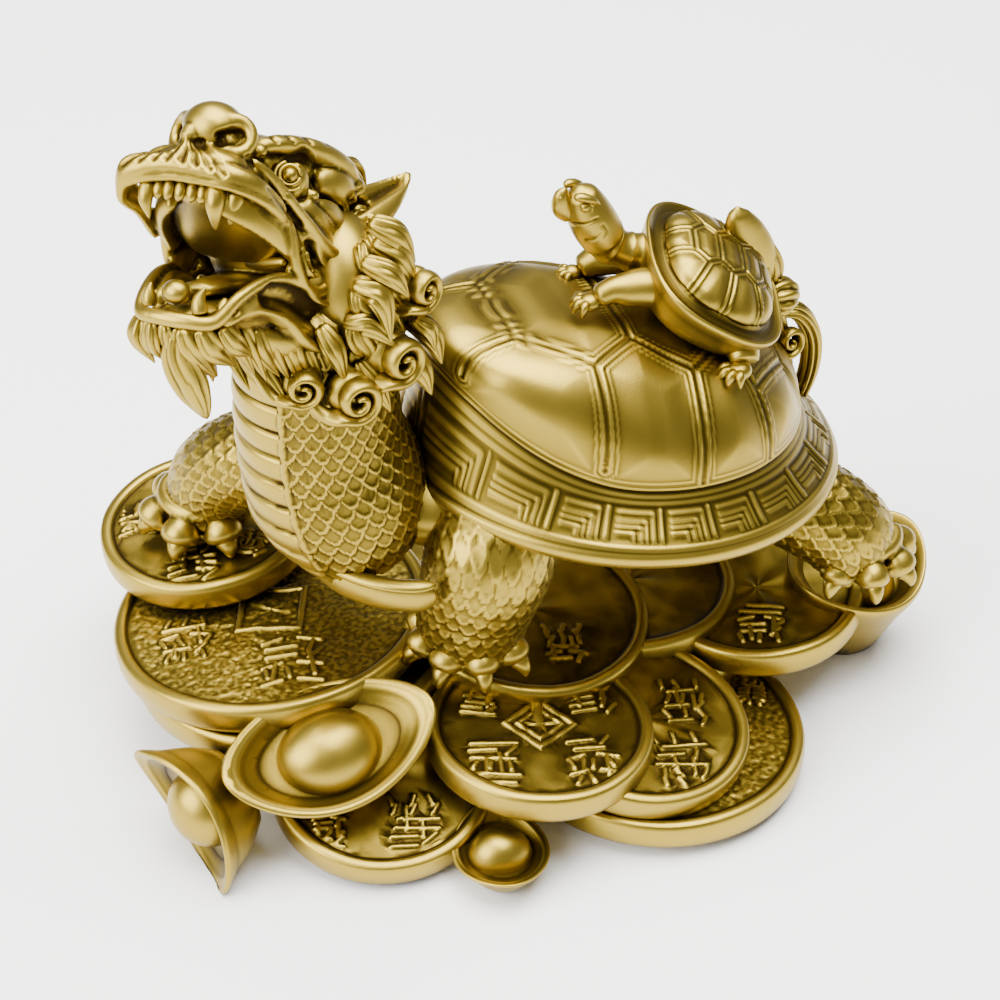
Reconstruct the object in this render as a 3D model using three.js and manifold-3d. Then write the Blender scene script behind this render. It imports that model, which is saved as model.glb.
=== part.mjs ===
import * as THREE from 'three';
import { mergeVertices } from 'three/addons/utils/BufferGeometryUtils.js';
import Module from 'manifold-3d';

const wasm = await Module();
wasm.setup();

// A dragon turtle cast in one piece: it stands on a heap of coins and boat-shaped
// ingots and carries a small turtle on its back. Millimetres, +Z up. The figure
// faces -Y and its own left side is at +X.

// Driving dimensions
const figureLength = 138;      // front coin to rear ingot, along the body
const coinThickness = 5.2;
const coinRimWidth = 2.2;
const coinRecess = 0.7;
const shellLip = 2.4;          // height of the carapace's outer edge
const seamWidth = 1.5;
const seamHeight = 0.55;
const seamRoot = 0.9;          // how deep a seam's rib is let into the dome
const fangLength = 5.2;
const toothLength = 2.6;
const clawLength = 4.6;

// The block below the table that cuts the figure's foot flat
const tableSpan = 300;
const tableDepth = 60;

// The free forms below are given in shares of the figure, 138 to its length
const share = figureLength / 138;

// Counts that set how finely round shapes are cut
const coinSides = 13;
const ingotSides = 10;
const shellSides = 20;
const calfSides = 12;
const bedSides = 12;
const limbSides = 8;
const curlSides = 6;
const spikeSides = 4;

const gold = new THREE.MeshStandardMaterial({ color: 0xb8923c, roughness: 0.34, metalness: 0.95 });

// Solid from a closed geometry whose vertices may repeat
function toSolid(geometry) {
  const bare = geometry.clone();
  bare.deleteAttribute('normal');
  bare.deleteAttribute('uv');
  const merged = mergeVertices(bare, 1e-4);
  const triangles = [];
  const index = merged.index.array;
  for (let i = 0; i < index.length; i += 3) {
    const [a, b, c] = [index[i], index[i + 1], index[i + 2]];
    if (a !== b && b !== c && c !== a) triangles.push(a, b, c);
  }
  const mesh = new wasm.Mesh({
    numProp: 3,
    vertProperties: new Float32Array(merged.attributes.position.array),
    triVerts: new Uint32Array(triangles),
  });
  return new wasm.Manifold(mesh);
}

function point(x, y, z) {
  return new THREE.Vector3(x, y, z);
}

// A place and heading: local x is the creature's left, y its back, z its up
function pose(x, y, z, yaw = 0, pitch = 0, roll = 0) {
  const degree = Math.PI / 180;
  const turn = new THREE.Matrix4().makeRotationZ(yaw * degree);
  turn.multiply(new THREE.Matrix4().makeRotationX(-pitch * degree));
  turn.multiply(new THREE.Matrix4().makeRotationY(-roll * degree));
  return turn.setPosition(x, y, z);
}

// Closed skin over rings of points, each ring a list of equal length
function skin(rings) {
  const sides = rings[0].length;
  const positions = [];
  const triangles = [];
  for (const ring of rings) for (const p of ring) positions.push(p.x, p.y, p.z);
  for (let i = 0; i < rings.length - 1; i++) {
    for (let j = 0; j < sides; j++) {
      const a = i * sides + j;
      const b = i * sides + ((j + 1) % sides);
      triangles.push(a, b, a + sides, b, b + sides, a + sides);
    }
  }
  for (const [row, flip] of [[0, true], [rings.length - 1, false]]) {
    const middle = new THREE.Vector3();
    for (const p of rings[row]) middle.addScaledVector(p, 1 / sides);
    const centre = positions.length / 3;
    positions.push(middle.x, middle.y, middle.z);
    for (let j = 0; j < sides; j++) {
      const a = row * sides + j;
      const b = row * sides + ((j + 1) % sides);
      if (flip) triangles.push(b, a, centre);
      else triangles.push(a, b, centre);
    }
  }
  const geometry = new THREE.BufferGeometry();
  geometry.setAttribute('position', new THREE.Float32BufferAttribute(positions, 3));
  geometry.setIndex(triangles);
  return geometry;
}

// Limb through stations [x, y, z, half width, half depth]; the depth turns towards `facing`
function limb(stations, sides = limbSides, facing = point(0, 0, 1)) {
  const spine = stations.map(([x, y, z]) => point(x, y, z));
  const rings = stations.map(([, , , width, depth = width], i) => {
    const before = spine[Math.max(0, i - 1)];
    const after = spine[Math.min(spine.length - 1, i + 1)];
    const along = after.clone().sub(before).normalize();
    const across = along.clone().cross(facing).normalize();
    const over = across.clone().cross(along).normalize();
    const ring = [];
    for (let j = 0; j < sides; j++) {
      const angle = (j / sides) * 2 * Math.PI;
      const p = spine[i].clone().addScaledVector(across, width * Math.cos(angle));
      ring.push(p.addScaledVector(over, -depth * Math.sin(angle)));
    }
    return ring;
  });
  return skin(rings);
}

// Ball squashed to three half sizes
function ball(x, y, z, rx, ry = rx, rz = rx, around = 12, down = 8) {
  const geometry = new THREE.SphereGeometry(1, around, down);
  geometry.rotateX(Math.PI / 2);
  geometry.scale(rx, ry, rz);
  geometry.translate(x, y, z);
  return geometry;
}

// Pointed tooth, claw or tuft from a root to a tip, bowed by `bow` at its middle
function spike(root, tip, radius, bow = point(0, 0, 0), sides = spikeSides) {
  const stations = [0, 0.55, 1].map((t) => {
    const p = root.clone().lerp(tip, t).addScaledVector(bow, 4 * t * (1 - t));
    return [p.x, p.y, p.z, radius * (1 - 0.92 * t ** 1.5)];
  });
  const facing = Math.abs(tip.z - root.z) > 0.8 * tip.distanceTo(root) ? point(0, 1, 0) : point(0, 0, 1);
  return limb(stations, sides, facing);
}

function mirrored(geometry) {
  const copy = geometry.clone();
  copy.scale(-1, 1, 1);
  const index = copy.index.array;
  for (let i = 0; i < index.length; i += 3) [index[i], index[i + 1]] = [index[i + 1], index[i]];
  return copy;
}

function pair(geometry) {
  return [geometry, mirrored(geometry)];
}

function placed(geometries, matrix) {
  return geometries.map((geometry) => geometry.clone().applyMatrix4(matrix));
}

// Coins whose faces show: centre of the upper face, radius, and how far the face leans to +X and +Y
const coins = [
  [-30.2, -41.3, 28.3, 18.4, 0.02, -0.1],
  [-9.2, -36.5, 23, 27, -0.06, -0.08],
  [23.4, -28.6, 10, 18.5, 0.22, -0.05],
  [28.3, -2.8, 17, 18.8, 0.02, 0.05],
  [30.2, 14.6, 14, 18.7, 0.16, 0.12],
  [25.7, 19.4, 7, 25.5, 0, 0.04],
  [9.4, 46, 16.5, 18.4, 0.02, -0.06],
];

// Coins of which only the edge shows
const coinsBelow = [
  [4, 5, 20.5, 21, 0.1, 0.08],
  [0, 26, 17.5, 18.5, 0.02, 0.02],
  [-6.5, -33.5, 17.8, 27.5, -0.05, -0.06],
  [-26, 4, 15, 20, -0.08, 0.04],
  [-24, 31, 12, 20, -0.1, 0.02],
  [-20, 55, 16, 17.5, -0.06, 0.06],
  [-31, -14, 9, 18.5, -0.2, -0.04],
];

// Coin with a raised rim round a sunk field, or with a plain face
function coin([x, y, z, radius, leanX, leanY], rimmed) {
  const field = radius - coinRimWidth;
  const outer = [new THREE.Vector2(0, -coinThickness), new THREE.Vector2(radius, -coinThickness)];
  const face = rimmed
    ? [[radius, 0], [field, 0], [field - coinRecess, -coinRecess], [0, -coinRecess]]
    : [[radius, 0], [0, 0]];
  const profile = [...outer, ...face.map(([r, h]) => new THREE.Vector2(r, h))];
  const geometry = new THREE.LatheGeometry(profile, coinSides);
  geometry.rotateX(Math.PI / 2);
  const normal = point(leanX, leanY, Math.sqrt(1 - leanX * leanX - leanY * leanY));
  const turn = new THREE.Quaternion().setFromUnitVectors(point(0, 0, 1), normal);
  geometry.applyQuaternion(turn);
  geometry.translate(x, y, z);
  return geometry;
}

// Ingots: middle of the rim, half length, half width, height, long axis and the way the hollow faces
const ingots = [
  { at: [23, -37.4, 18.4], length: 18, width: 11, height: 10, along: [0, 1, 0.14], open: [0.45, 0, 0.89] },
  {
    at: [20.5, -60, 9.8], length: 13.5, width: 9.5, height: 9,
    along: [0.71, 0.29, -0.64], open: [0.28, -0.95, -0.11],
  },
  { at: [42.5, -15.5, 5.2], length: 9, width: 8, height: 5, along: [1, -0.12, -0.1], open: [0.2, 0, 0.98] },
  { at: [12, 64, 17], length: 13.5, width: 12, height: 17, along: [-0.35, 0.94, 0.05], open: [0.1, 0.1, 1] },
  { at: [-40, -4, 9.5], length: 14, width: 9, height: 9, along: [-0.4, 0.9, 0], open: [-0.3, 0, 1] },
];

// Boat-shaped ingot: flared oval rim with lifted ends, hull below and a dome in the hollow
function ingot({ at, length, width, height, along, open }) {
  const lift = 0.2 * length;
  const profile = [
    [0, -height], [0.5, -height], [0.76, -0.5 * height], [1, 0], [0.62, -0.2 * height], [0, -0.2 * height],
  ].map(([r, z]) => new THREE.Vector2(r, z));
  const hull = new THREE.LatheGeometry(profile, ingotSides);
  hull.rotateX(Math.PI / 2);
  const position = hull.attributes.position;
  for (let i = 0; i < position.count; i++) {
    const [x, y, z] = [position.getX(i), position.getY(i), position.getZ(i)];
    const raise = z > -0.4 * height ? lift * y * y : 0;
    position.setXYZ(i, x * width * (1 - 0.18 * y * y), y * length, z + raise);
  }
  const dome = ball(0, 0, -0.25 * height, 0.66 * width, 0.5 * length, 0.62 * width, 8, 4);
  const back = point(...along).normalize();
  const across = back.clone().cross(point(...open)).normalize();
  const up = across.clone().cross(back);
  const turn = new THREE.Matrix4().makeBasis(across, back, up).setPosition(...at);
  return placed([hull, dome], turn);
}

// Rock-like bed that fills the heap and gives it one flat foot
function bed() {
  const steps = [[0, 30, 48], [11.5, 27, 46], [14.5, 12, 26]];
  const rings = steps.map(([z, across, along]) => {
    const ring = [];
    for (let j = 0; j < bedSides; j++) {
      const angle = (j / bedSides) * 2 * Math.PI;
      ring.push(point(-2 + across * Math.cos(angle), 6 + along * Math.sin(angle), z));
    }
    return ring;
  });
  return skin(rings);
}

// Carapace of the dragon turtle; its fullness is given to the left, to the right, in front and behind
const shell = {
  place: pose(-0.5, 22.6, 49.8, 0, 7, 0),
  halfLength: 38,
  halfWidth: 35.8,
  band: 0.79,            // where the dome starts, as a share of the rim
  frontReach: 0.17,      // how much further out it starts in front
  frontRise: 12.5,       // how much higher it starts there
  frontPower: 3.7,       // how closely that keeps to the front
  bandHeight: 7,
  domeHeight: 26.6,
  fullness: [2, 1.4, 5.5, 1.9],
  forward: 0.05,         // how much higher the dome stands in front than behind
  outline: 2,            // how squarely the rim runs round: 2 is an oval
};

// Seams of the middle scutes on the left: corners in a row, and where they meet the dome's foot
const scutes = {
  corners: [
    [8.2, -25.2], [16.5, -14.6], [11.5, -6.6], [17.2, 2.6], [11.8, 10], [18.8, 13.6], [10.5, 22.5],
  ],
  feet: [[0, 9.6, -33.7], [1, 25.4, -14.8], [3, 28.4, 1.4], [5, 24.5, 15.4], [6, 13, 27]],
  crossings: [0, 2, 4, 6],
};

// Share of the rim at which the dome starts, for an angle from the left side
function footShare(form, angle) {
  return form.band + form.frontReach * frontShare(form, angle);
}

function footHeight(form, angle) {
  return form.bandHeight + form.frontRise * frontShare(form, angle);
}

// How far an angle counts as front: 1 straight ahead, 0 at the sides and behind
function frontShare(form, angle) {
  return Math.max(0, -Math.sin(angle)) ** form.frontPower;
}

// Distance from the middle, as a share of the rim, for a point given in half sizes
function rimShare(form, u, v) {
  return (Math.abs(u) ** form.outline + Math.abs(v) ** form.outline) ** (1 / form.outline);
}

function fullnessAt(form, angle) {
  const [left, right, front, rear] = form.fullness;
  const side = Math.cos(angle) > 0 ? left : right;
  const end = Math.sin(angle) < 0 ? front : rear;
  return side * Math.cos(angle) ** 2 + end * Math.sin(angle) ** 2;
}

function domeHeightAt(form, x, y) {
  const u = x / form.halfWidth;
  const v = y / form.halfLength;
  const angle = Math.atan2(v, u);
  const power = fullnessAt(form, angle);
  const r = Math.min(1, rimShare(form, u, v) / footShare(form, angle));
  const rise = (1 - r ** power) ** (1 / power);
  const foot = footHeight(form, angle);
  return foot + (form.domeHeight - foot) * rise * (1 - form.forward * v);
}

function carapace(form, lip, belly, sides) {
  const rows = [];
  for (const share of [0.02, 0.42, 0.72, 0.91, 1]) rows.push([share, null, 1]);
  rows.push([1, 0, 1], [0.99, -lip, 1]);
  for (const [r, depth, narrow] of belly) rows.push([r, -depth, narrow]);
  const rings = rows.map(([r, z, narrow]) => {
    const ring = [];
    for (let j = 0; j < sides; j++) {
      const angle = (-j / sides) * 2 * Math.PI;
      const rim = 1 / rimShare(form, Math.cos(angle), Math.sin(angle));
      const reach = rim * (z === null ? r * footShare(form, angle) : r);
      const x = form.halfWidth * reach * Math.cos(angle) * narrow;
      const y = form.halfLength * reach * Math.sin(angle);
      ring.push(point(x, y, z === null ? domeHeightAt(form, x, y) : z));
    }
    return ring;
  });
  return skin(rings);
}

// Seam between scutes: a low three-sided rib laid over the dome from one point to another
function seam(form, from, to, steps) {
  const rings = [];
  for (let i = 0; i <= steps; i++) {
    const t = i / steps;
    const x = from[0] + (to[0] - from[0]) * t;
    const y = from[1] + (to[1] - from[1]) * t;
    const z = domeHeightAt(form, x, y);
    const across = point(to[1] - from[1], from[0] - to[0], 0).setLength(seamWidth / 2);
    const ground = point(x, y, z - seamRoot);
    rings.push([
      ground.clone().add(across),
      ground.clone().sub(across),
      point(x, y, z + seamHeight),
    ]);
  }
  return skin(rings);
}

// Point where a seam through x, y meets the dome's foot
function seamFoot(form, x, y) {
  const u = x / form.halfWidth;
  const v = y / form.halfLength;
  const scale = footShare(form, Math.atan2(v, u)) / rimShare(form, u, v);
  return [x * scale, y * scale];
}

function seams(form, plan) {
  const list = [];
  for (const side of [-1, 1]) {
    const corners = plan.corners.map(([x, y]) => [side * x, y]);
    for (let i = 1; i < corners.length; i++) list.push([corners[i - 1], corners[i], 1]);
    for (const [corner, x, y] of plan.feet) list.push([corners[corner], seamFoot(form, side * x, y), 2]);
  }
  for (const i of plan.crossings) {
    const [x, y] = plan.corners[i];
    list.push([[-x, y], [x, y], 2]);
  }
  return list.map(([from, to, steps]) => seam(form, from, to, steps));
}

function dragonShell() {
  const belly = [[0.74, 8, 0.96], [0.42, 16, 0.84], [0.02, 17.8, 0.8]];
  const body = carapace(shell, shellLip, belly, shellSides);
  return placed([body, ...seams(shell, scutes)], shell.place);
}

// Chest and neck, up to the back of the head
function neck() {
  const facing = point(0, 1, 0);
  return [
    ball(0, -11, 48.5, 13, 12.5, 8.6, 8, 3),
    limb([
      [0, -23.4, 41, 10, 7.2], [0, -24.8, 45, 14, 11.4],
      [0, -26.8, 53, 14.8, 14.2], [0, -29.2, 64, 12.9, 13.1],
      [0.5, -30, 80, 12.1, 12.3], [2, -33, 95, 9.8, 9.8],
    ], 12, facing),
  ];
}

// Lip of the lower shell round the foot of the chest
function breastBand() {
  const stations = [];
  for (let i = 0; i <= 6; i++) {
    const angle = ((-150 + 22 * i) * Math.PI) / 180;
    stations.push([2.5 + 18 * Math.cos(angle), -14.5 + 17.5 * Math.sin(angle), 43.8, 2.4, 1.8]);
  }
  return [limb(stations, 4)];
}

// Head: local x is its left, y its back, z its up; the mouth's hinge is at the middle
const headPlace = pose(1.7, -41, 101.8, 36, 41, 13);

// Skull with the broad muzzle before it, forehead and palate
function skull() {
  return [
    limb([
      [0, 16, -1, 8.6, 9], [0, 9, 3.5, 10, 9], [0, 4.5, 6.4, 10, 7.6],
      [0, -2.5, 7.6, 9.4, 5.4], [-0.4, -9, 7.8, 9.2, 4.2], [-1, -15.4, 9, 8.4, 2.6],
    ], 10),
    ball(0, 2, 12.2, 8.8, 10.5, 5, 8, 3),
  ];
}

// The upper lip, which hangs lower on the right side
function upperLip() {
  return limb([
    [-10.4, -6, 0.8, 0.9, 1.2], [-10.6, -11.6, 3.4, 1.2, 1.7], [-11, -15.6, 5.3, 1.3, 2.5],
    [-9.2, -17.8, 7.2, 1.6, 2.3], [-2, -17.4, 8.4, 1.8, 2.2], [5, -15.7, 7.9, 1.7, 2],
    [9, -12.2, 6.6, 1.3, 1.9], [10.6, -5.4, 4, 1, 1.2],
  ], 4);
}

// The lower jaw with its rolled lip, the flaps at its sides and the tongue
function lowerJaw() {
  return [
    limb([
      [0, 12, -4, 8.4, 6], [0, 4, -7.6, 9, 4.6], [0, -4, -10.4, 7.8, 2.8], [-0.6, -11.6, -12, 5.6, 1.8],
    ], 8),
    limb([
      [-10.8, 2, -5, 1, 1], [-9.8, -2.4, -4, 1, 1], [-8, -10.4, -8.8, 1, 1],
      [-6.6, -12.8, -12.2, 1.1, 1.2], [-1, -13.6, -13.1, 1.2, 1.3], [5, -11.6, -12.7, 1.1, 1.2],
      [7.6, -10.3, -8.8, 1, 1], [9.8, -3.4, -4.2, 1, 1], [11, 2.4, -4.8, 1, 1],
    ], 4),
    ...pair(limb([
      [6.2, -9.6, -11.2, 1.2, 2], [7.8, -4.2, -7.4, 1.4, 3], [9, 1.2, -7.4, 1.6, 3.8],
      [9.9, 7, -8.6, 1.9, 4.4], [11, 13, -6.8, 1.2, 2.2],
    ], 5)),
    limb([[0, 4, -5, 3.4, 1.6], [0, -4, -6.2, 3.4, 1.5], [-0.6, -12, -8.8, 2.4, 1.6]], 6),
  ];
}

function nose() {
  const bridge = limb([[0, -10, 13.2, 4.8, 3.2], [0, -2, 12.8, 5, 3.6]], 6);
  const tip = ball(0.2, -12, 15.2, 4.8, 4.6, 4.1, 8, 4);
  const bump = ball(-1.6, -15.8, 11.4, 2.4, 1.8, 3, 6, 3);
  const wings = pair(ball(4.6, -13.1, 14.2, 2.5, 2.2, 3, 6, 3));
  return [bridge, tip, bump, ...wings];
}

function teeth() {
  const list = [];
  for (const [x, y] of [[-4.6, -15.9], [-2.4, -15.7], [-0.2, -15.2], [1.7, -14.6]]) {
    const root = point(x, y, 6.6);
    list.push(spike(root, root.clone().add(point(0, -0.1, -0.6 - toothLength)), 1, point(0, 0, 0), 3));
  }
  const fangs = [
    [[-6.6, -16.2, 6], [-6.1, -15.2, 6.1 - fangLength], 1.3],
    [[3.6, -14.4, 6], [3.3, -12.2, 5.6 - fangLength], 1.6],
    [[6, -12.6, 5.8], [5, -11.2, 1.4], 1.4],
    [[-5.4, -12.6, -11.4], [-5.2, -13.6, -7.9], 1.1],
    [[3.1, -12.4, -12], [3.7, -13.3, -8], 1.2],
  ];
  for (const [root, tip, radius] of fangs) list.push(spike(point(...root), point(...tip), radius));
  return list;
}

function browsAndEars() {
  const ahead = point(0.35, -0.93, 0);
  const brow = [
    [3.8, -7.4, 13.4, 0.9], [6.4, -3, 15.3, 1.8], [8.8, 4, 16, 2.4], [10.6, 11.5, 13.4, 1.6],
  ];
  const ear = [
    [10.2, 11.2, 7.2, 2.6, 1.8], [11.9, 14.6, 9.8, 4, 1.7],
    [13.2, 18.6, 13.2, 3, 1.2], [14.4, 23.6, 18.2, 0.5, 0.4],
  ];
  const eye = ball(8.4, -1.8, 10.8, 2.6, 2.6, 2.8, 6, 3);
  return [...pair(eye), ...pair(limb(brow, 5)), ...pair(limb(ear, 4, ahead))];
}

function cheeks() {
  const sideways = point(1, 0, 0);
  const gum = [
    [10.2, -5.6, 5, 0.9], [10.8, -1.2, -1.4, 1.1], [11.2, 3.4, -4.6, 1.1], [11.6, 7.8, -1.6, 1],
  ];
  const fold = [
    [9, -9.4, 9.6, 0.9], [11.6, -0.8, 4.6, 1], [12.8, 6.4, 1.9, 1.1],
    [13.6, 15, 3.4, 1.3], [14.2, 19.4, 5.4, 0.5],
  ];
  const swell = [[10.4, -2, 5, 1, 2], [11, 3.6, 5.4, 1.6, 3.8], [11.2, 9.6, 5, 1.6, 3.6]];
  const leaf = [[11.9, 8.8, 1.2, 1.2, 1], [12.4, 12.6, -2, 2.4, 1.3], [11.4, 12.8, -7, 0.8, 0.6]];
  return [
    ...pair(limb(gum, 4, sideways)),
    ...pair(limb(fold, 4)),
    ...pair(limb(swell, 5)),
    ...pair(limb(leaf, 4, sideways)),
  ];
}

// Beard: locks along the chin and a long one that hangs before the neck
function beard() {
  const locks = [
    [[-7.4, -11, -12.4], [-7, -6.2, -18.8], 2.2], [[-4.2, -12.6, -13], [-4.2, -6.4, -18], 2.2],
    [[-1.4, -12.6, -13.4], [-0.8, -3.8, -18], 2.3], [[1.2, -12, -13.4], [1.8, -2.6, -19.4], 2.4],
    [[3.8, -10.8, -13.2], [4.8, -2.4, -17.2], 2.1], [[6.4, -7, -12], [7.8, 1, -16.4], 1.9],
  ];
  const bow = point(0, -0.9, 0);
  const hairs = locks.map(([root, tip, radius]) => spike(point(...root), point(...tip), radius, bow));
  const long = [
    [-1, -11, -14, 2.4, 1.8], [-1.6, -8.6, -18, 3, 2.1],
    [-0.8, -5, -22, 2.7, 1.9], [0, -0.8, -25.6, 0.4, 0.4],
  ];
  return [...hairs, limb(long, 5, point(0, 1, 0))];
}

// Mane curls beside the neck: centre on the left side and outer radius
const curls = [
  [[12.6, -15.9, 95.2], 3.9], [[15.6, -20.9, 85.6], 4.7], [[17, -28.4, 81.4], 4.5], [[14.6, -36, 83.8], 3.6],
];

// Flames of the mane on the left side: root, tip and radius
const flames = [
  [[11.4, -26.6, 98.4], [16.4, -22.4, 89.6], 2.2], [[8.4, -22.7, 105], [12, -16.8, 97.6], 2.4],
  [[8, -42, 90.2], [13.4, -38.6, 80], 1.9],
];

const farShare = 0.88; // how far the right side's curls and flames stand out, against the left side's

// Rolled lock: a rosette with a sunk ring round its eye, which faces away from the neck
function curl([centre, radius], side) {
  const middle = point(centre[0] * side * (side > 0 ? 1 : farShare), centre[1], centre[2]);
  const outward = point(side, (middle.y + 30) * 0.04, 0.06).normalize();
  const profile = [[0, -0.8], [0.95, -0.4], [1, 0.1], [0.72, 0.4], [0.5, 0.2], [0, 0.5]];
  const outline = profile.map(([r, h]) => new THREE.Vector2(r * radius, h * radius));
  const geometry = new THREE.LatheGeometry(outline, curlSides);
  geometry.applyQuaternion(new THREE.Quaternion().setFromUnitVectors(point(0, 1, 0), outward));
  return geometry.translate(middle.x, middle.y, middle.z);
}

function mane() {
  const list = [ball(1, -25, 91, 12.8, 9.8, 13.4, 8, 4)];
  for (const side of [1, -1]) {
    for (const entry of curls) list.push(curl(entry, side));
    const out = side > 0 ? 1 : -farShare;
    for (const [root, tip, radius] of flames) {
      const from = point(root[0] * out, root[1], root[2]);
      const to = point(tip[0] * out, tip[1], tip[2]);
      list.push(spike(from, to, radius, point(side, 0.6, 0.4)));
    }
  }
  const back = [[0, 100, 0], [5.5, 99, 1], [-5.5, 99, 1], [0, 90, 2]];
  for (const [x, z, low] of back) {
    const root = point(x * 0.8, -22, z + 4);
    list.push(spike(root, point(x * 1.25, -14.8 - 0.4 * low, z - 9), 3.8, point(0, 1.6, 1), 5));
  }
  return list;
}

// Foot with toes spread round a heading, each ending in a claw
function foot(x, y, z, radius, heading, toes, spread) {
  const list = [ball(x, y, z + 0.8, radius, radius, 4.2, 7, 3)];
  for (let i = 0; i < toes; i++) {
    const angle = ((heading + spread * (i / (toes - 1) - 0.5)) * Math.PI) / 180;
    const out = point(Math.cos(angle), Math.sin(angle), 0);
    const station = (reach, height, thick) => {
      const p = point(x, y, z + height).addScaledVector(out, reach);
      return [p.x, p.y, p.z, thick];
    };
    const knuckle = 0.98 * radius;
    const tip = 1.15 * radius + 0.72 * clawLength;
    const toe = [station(0.45 * radius, 2.2, 2.4), station(knuckle, 1.6, 2.6), station(tip, -1.6, 0.3)];
    list.push(limb(toe, 3));
  }
  return list;
}

function legs() {
  const facing = point(0, 1, 0);
  const sideways = point(1, 0, 0);
  return [
    limb([
      [8, -1, 49, 10, 10], [14.5, -6, 43, 10.5, 10.5], [14.5, -8.6, 34, 9.4, 9.4], [13, -9.5, 24, 8.4, 8.4],
    ], 7, facing),
    ...foot(13, -8.8, 24.5, 8, -50, 4, 150),
    limb([
      [-13, -20, 50, 9, 9], [-20, -31, 46, 8.8, 8.8], [-26.4, -38.6, 40, 8, 8], [-28.6, -41.4, 31, 7.2, 7.2],
    ], 7, facing),
    ...foot(-28.4, -42.2, 29.8, 7.2, -65, 4, 150),
    limb([
      [6, 42, 41, 8, 8], [14, 51, 36.5, 8.4, 8.4], [18, 57, 32, 8, 8], [18.5, 59, 27, 7.4, 7.4],
    ], 7, sideways),
    ...foot(18.5, 60, 25, 7.2, 15, 4, 140),
    limb([
      [-6, 42, 44, 9, 9], [-15, 50, 38, 9, 9], [-20, 55, 28, 8.4, 8.4], [-20.5, 56, 20, 7.8, 7.8],
    ], 7, sideways),
    ...foot(-20.5, 56.5, 17.8, 7.8, 150, 3, 100),
  ];
}

// Tail that climbs behind the shell: a leaf, a ball, a curl and a hoop of hair
function tail() {
  const facing = point(0, 1, 0);
  const sideways = point(1, 0, 0);
  return [
    limb([
      [-1, 45, 40, 7.6, 6], [-1, 51, 50, 4.6, 4], [-1, 51, 60, 3.8, 3.2],
      [-1, 48.6, 70, 3.6, 3], [-0.5, 46.5, 77, 3.4, 2.6],
    ], 6, facing),
    limb([
      [0, 47, 72, 3, 2.4], [0.2, 46.6, 77.4, 4, 2.8], [0, 44.4, 83, 3.8, 2.4], [0, 42.6, 89, 0.5, 0.4],
    ], 6, sideways),
    ball(2, 50.4, 71, 3.1, 3.2, 3.2, 6, 4),
    ball(2.2, 52.1, 61.8, 3.2, 3.2, 3.2, 6, 4),
    limb([
      [0, 50.4, 66.8, 1.2, 1.6], [0, 54.8, 65.8, 1.6, 2.2], [0, 57.8, 60.4, 1.7, 2.4],
      [0, 57.8, 52, 1.6, 2], [0, 54.4, 44.6, 0.9, 1],
    ], 5, sideways),
  ];
}

// The small turtle that climbs over the dragon turtle's back
const calf = {
  place: pose(4.8, 36.3, 80.2, -14, 33, -9),
  halfLength: 12.8,
  halfWidth: 14.2,
  band: 0.79,
  frontReach: 0,
  frontRise: 0,
  frontPower: 2,
  bandHeight: 1.2,
  domeHeight: 5.6,
  fullness: [2.3, 2.3, 2.3, 2.3],
  forward: 0,
  outline: 2.6,
};

function smallTurtle() {
  const belly = [[0.84, 5.4, 1], [0.02, 7.4, 1]];
  const sideways = point(1, 0, 0);
  return [
    ...placed([carapace(calf, 0.9, belly, calfSides)], calf.place),
    limb([
      [0.5, 29.2, 82.8, 3.5, 3.4], [-1.2, 23, 84.8, 3.2, 3.4], [-2.2, 20.2, 86.6, 3.8, 3.9],
      [-2.5, 18.1, 91.2, 4.2, 4.2], [-2.7, 16.7, 95, 3.4, 3.4], [-2.9, 15.6, 97.4, 1.2, 1.2],
    ], 8, sideways),
    limb([[7.4, 27.5, 81, 3.1, 2.9], [6.2, 20.8, 82.3, 2.9, 2.8], [5.6, 15.6, 81.6, 2, 1.9]], 6),
    limb([[-6, 28, 79.6, 3, 2.8], [-7.6, 21.6, 79.2, 2.7, 2.6], [-8, 18.4, 78, 1.9, 1.8]], 6),
    ball(5.4, 14, 80.6, 2.4, 2.4, 1.8, 6, 3),
    ball(-8, 17, 77.4, 2.2, 2.2, 1.7, 6, 3),
    limb([[12, 36, 75, 3.2, 3], [15.4, 36.8, 72.8, 2.9, 2.6], [18.4, 34.6, 70.4, 2.4, 2]], 6, sideways),
    limb([[-6, 38, 74, 3.2, 3.2], [-9.6, 41, 70.4, 2.8, 2.6], [-10.6, 42, 66.4, 2.3, 2.1]], 6, sideways),
    limb([[3, 47, 71.6, 2.2, 1.6], [2.6, 49.6, 69.6, 1.2, 1], [2.4, 51.4, 67.6, 0.3, 0.3]], 4),
  ];
}

function head() {
  const parts = [
    ...skull(), upperLip(), ...lowerJaw(), ...nose(), ...teeth(), ...browsAndEars(), ...cheeks(), ...beard(),
  ];
  return placed(parts, headPlace);
}

// The figure as one casting, with what the surface seals in filled up
function casting() {
  const forms = [
    bed(),
    ...coins.map((entry) => coin(entry, true)),
    ...coinsBelow.map((entry) => coin(entry, false)),
    ...ingots.flatMap(ingot),
    ...dragonShell(),
    ...neck(),
    ...breastBand(),
    ...head(),
    ...mane(),
    ...legs(),
    ...tail(),
    ...smallTurtle(),
  ];
  const joined = wasm.Manifold.union(forms.map(toSolid));
  const table = new THREE.BoxGeometry(tableSpan, tableSpan, tableDepth).translate(0, 0, -tableDepth / 2);
  const above = joined.subtract(toSolid(table));
  const bodies = above.decompose();
  bodies.sort((a, b) => b.volume() - a.volume());
  return bodies[0];
}

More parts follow.
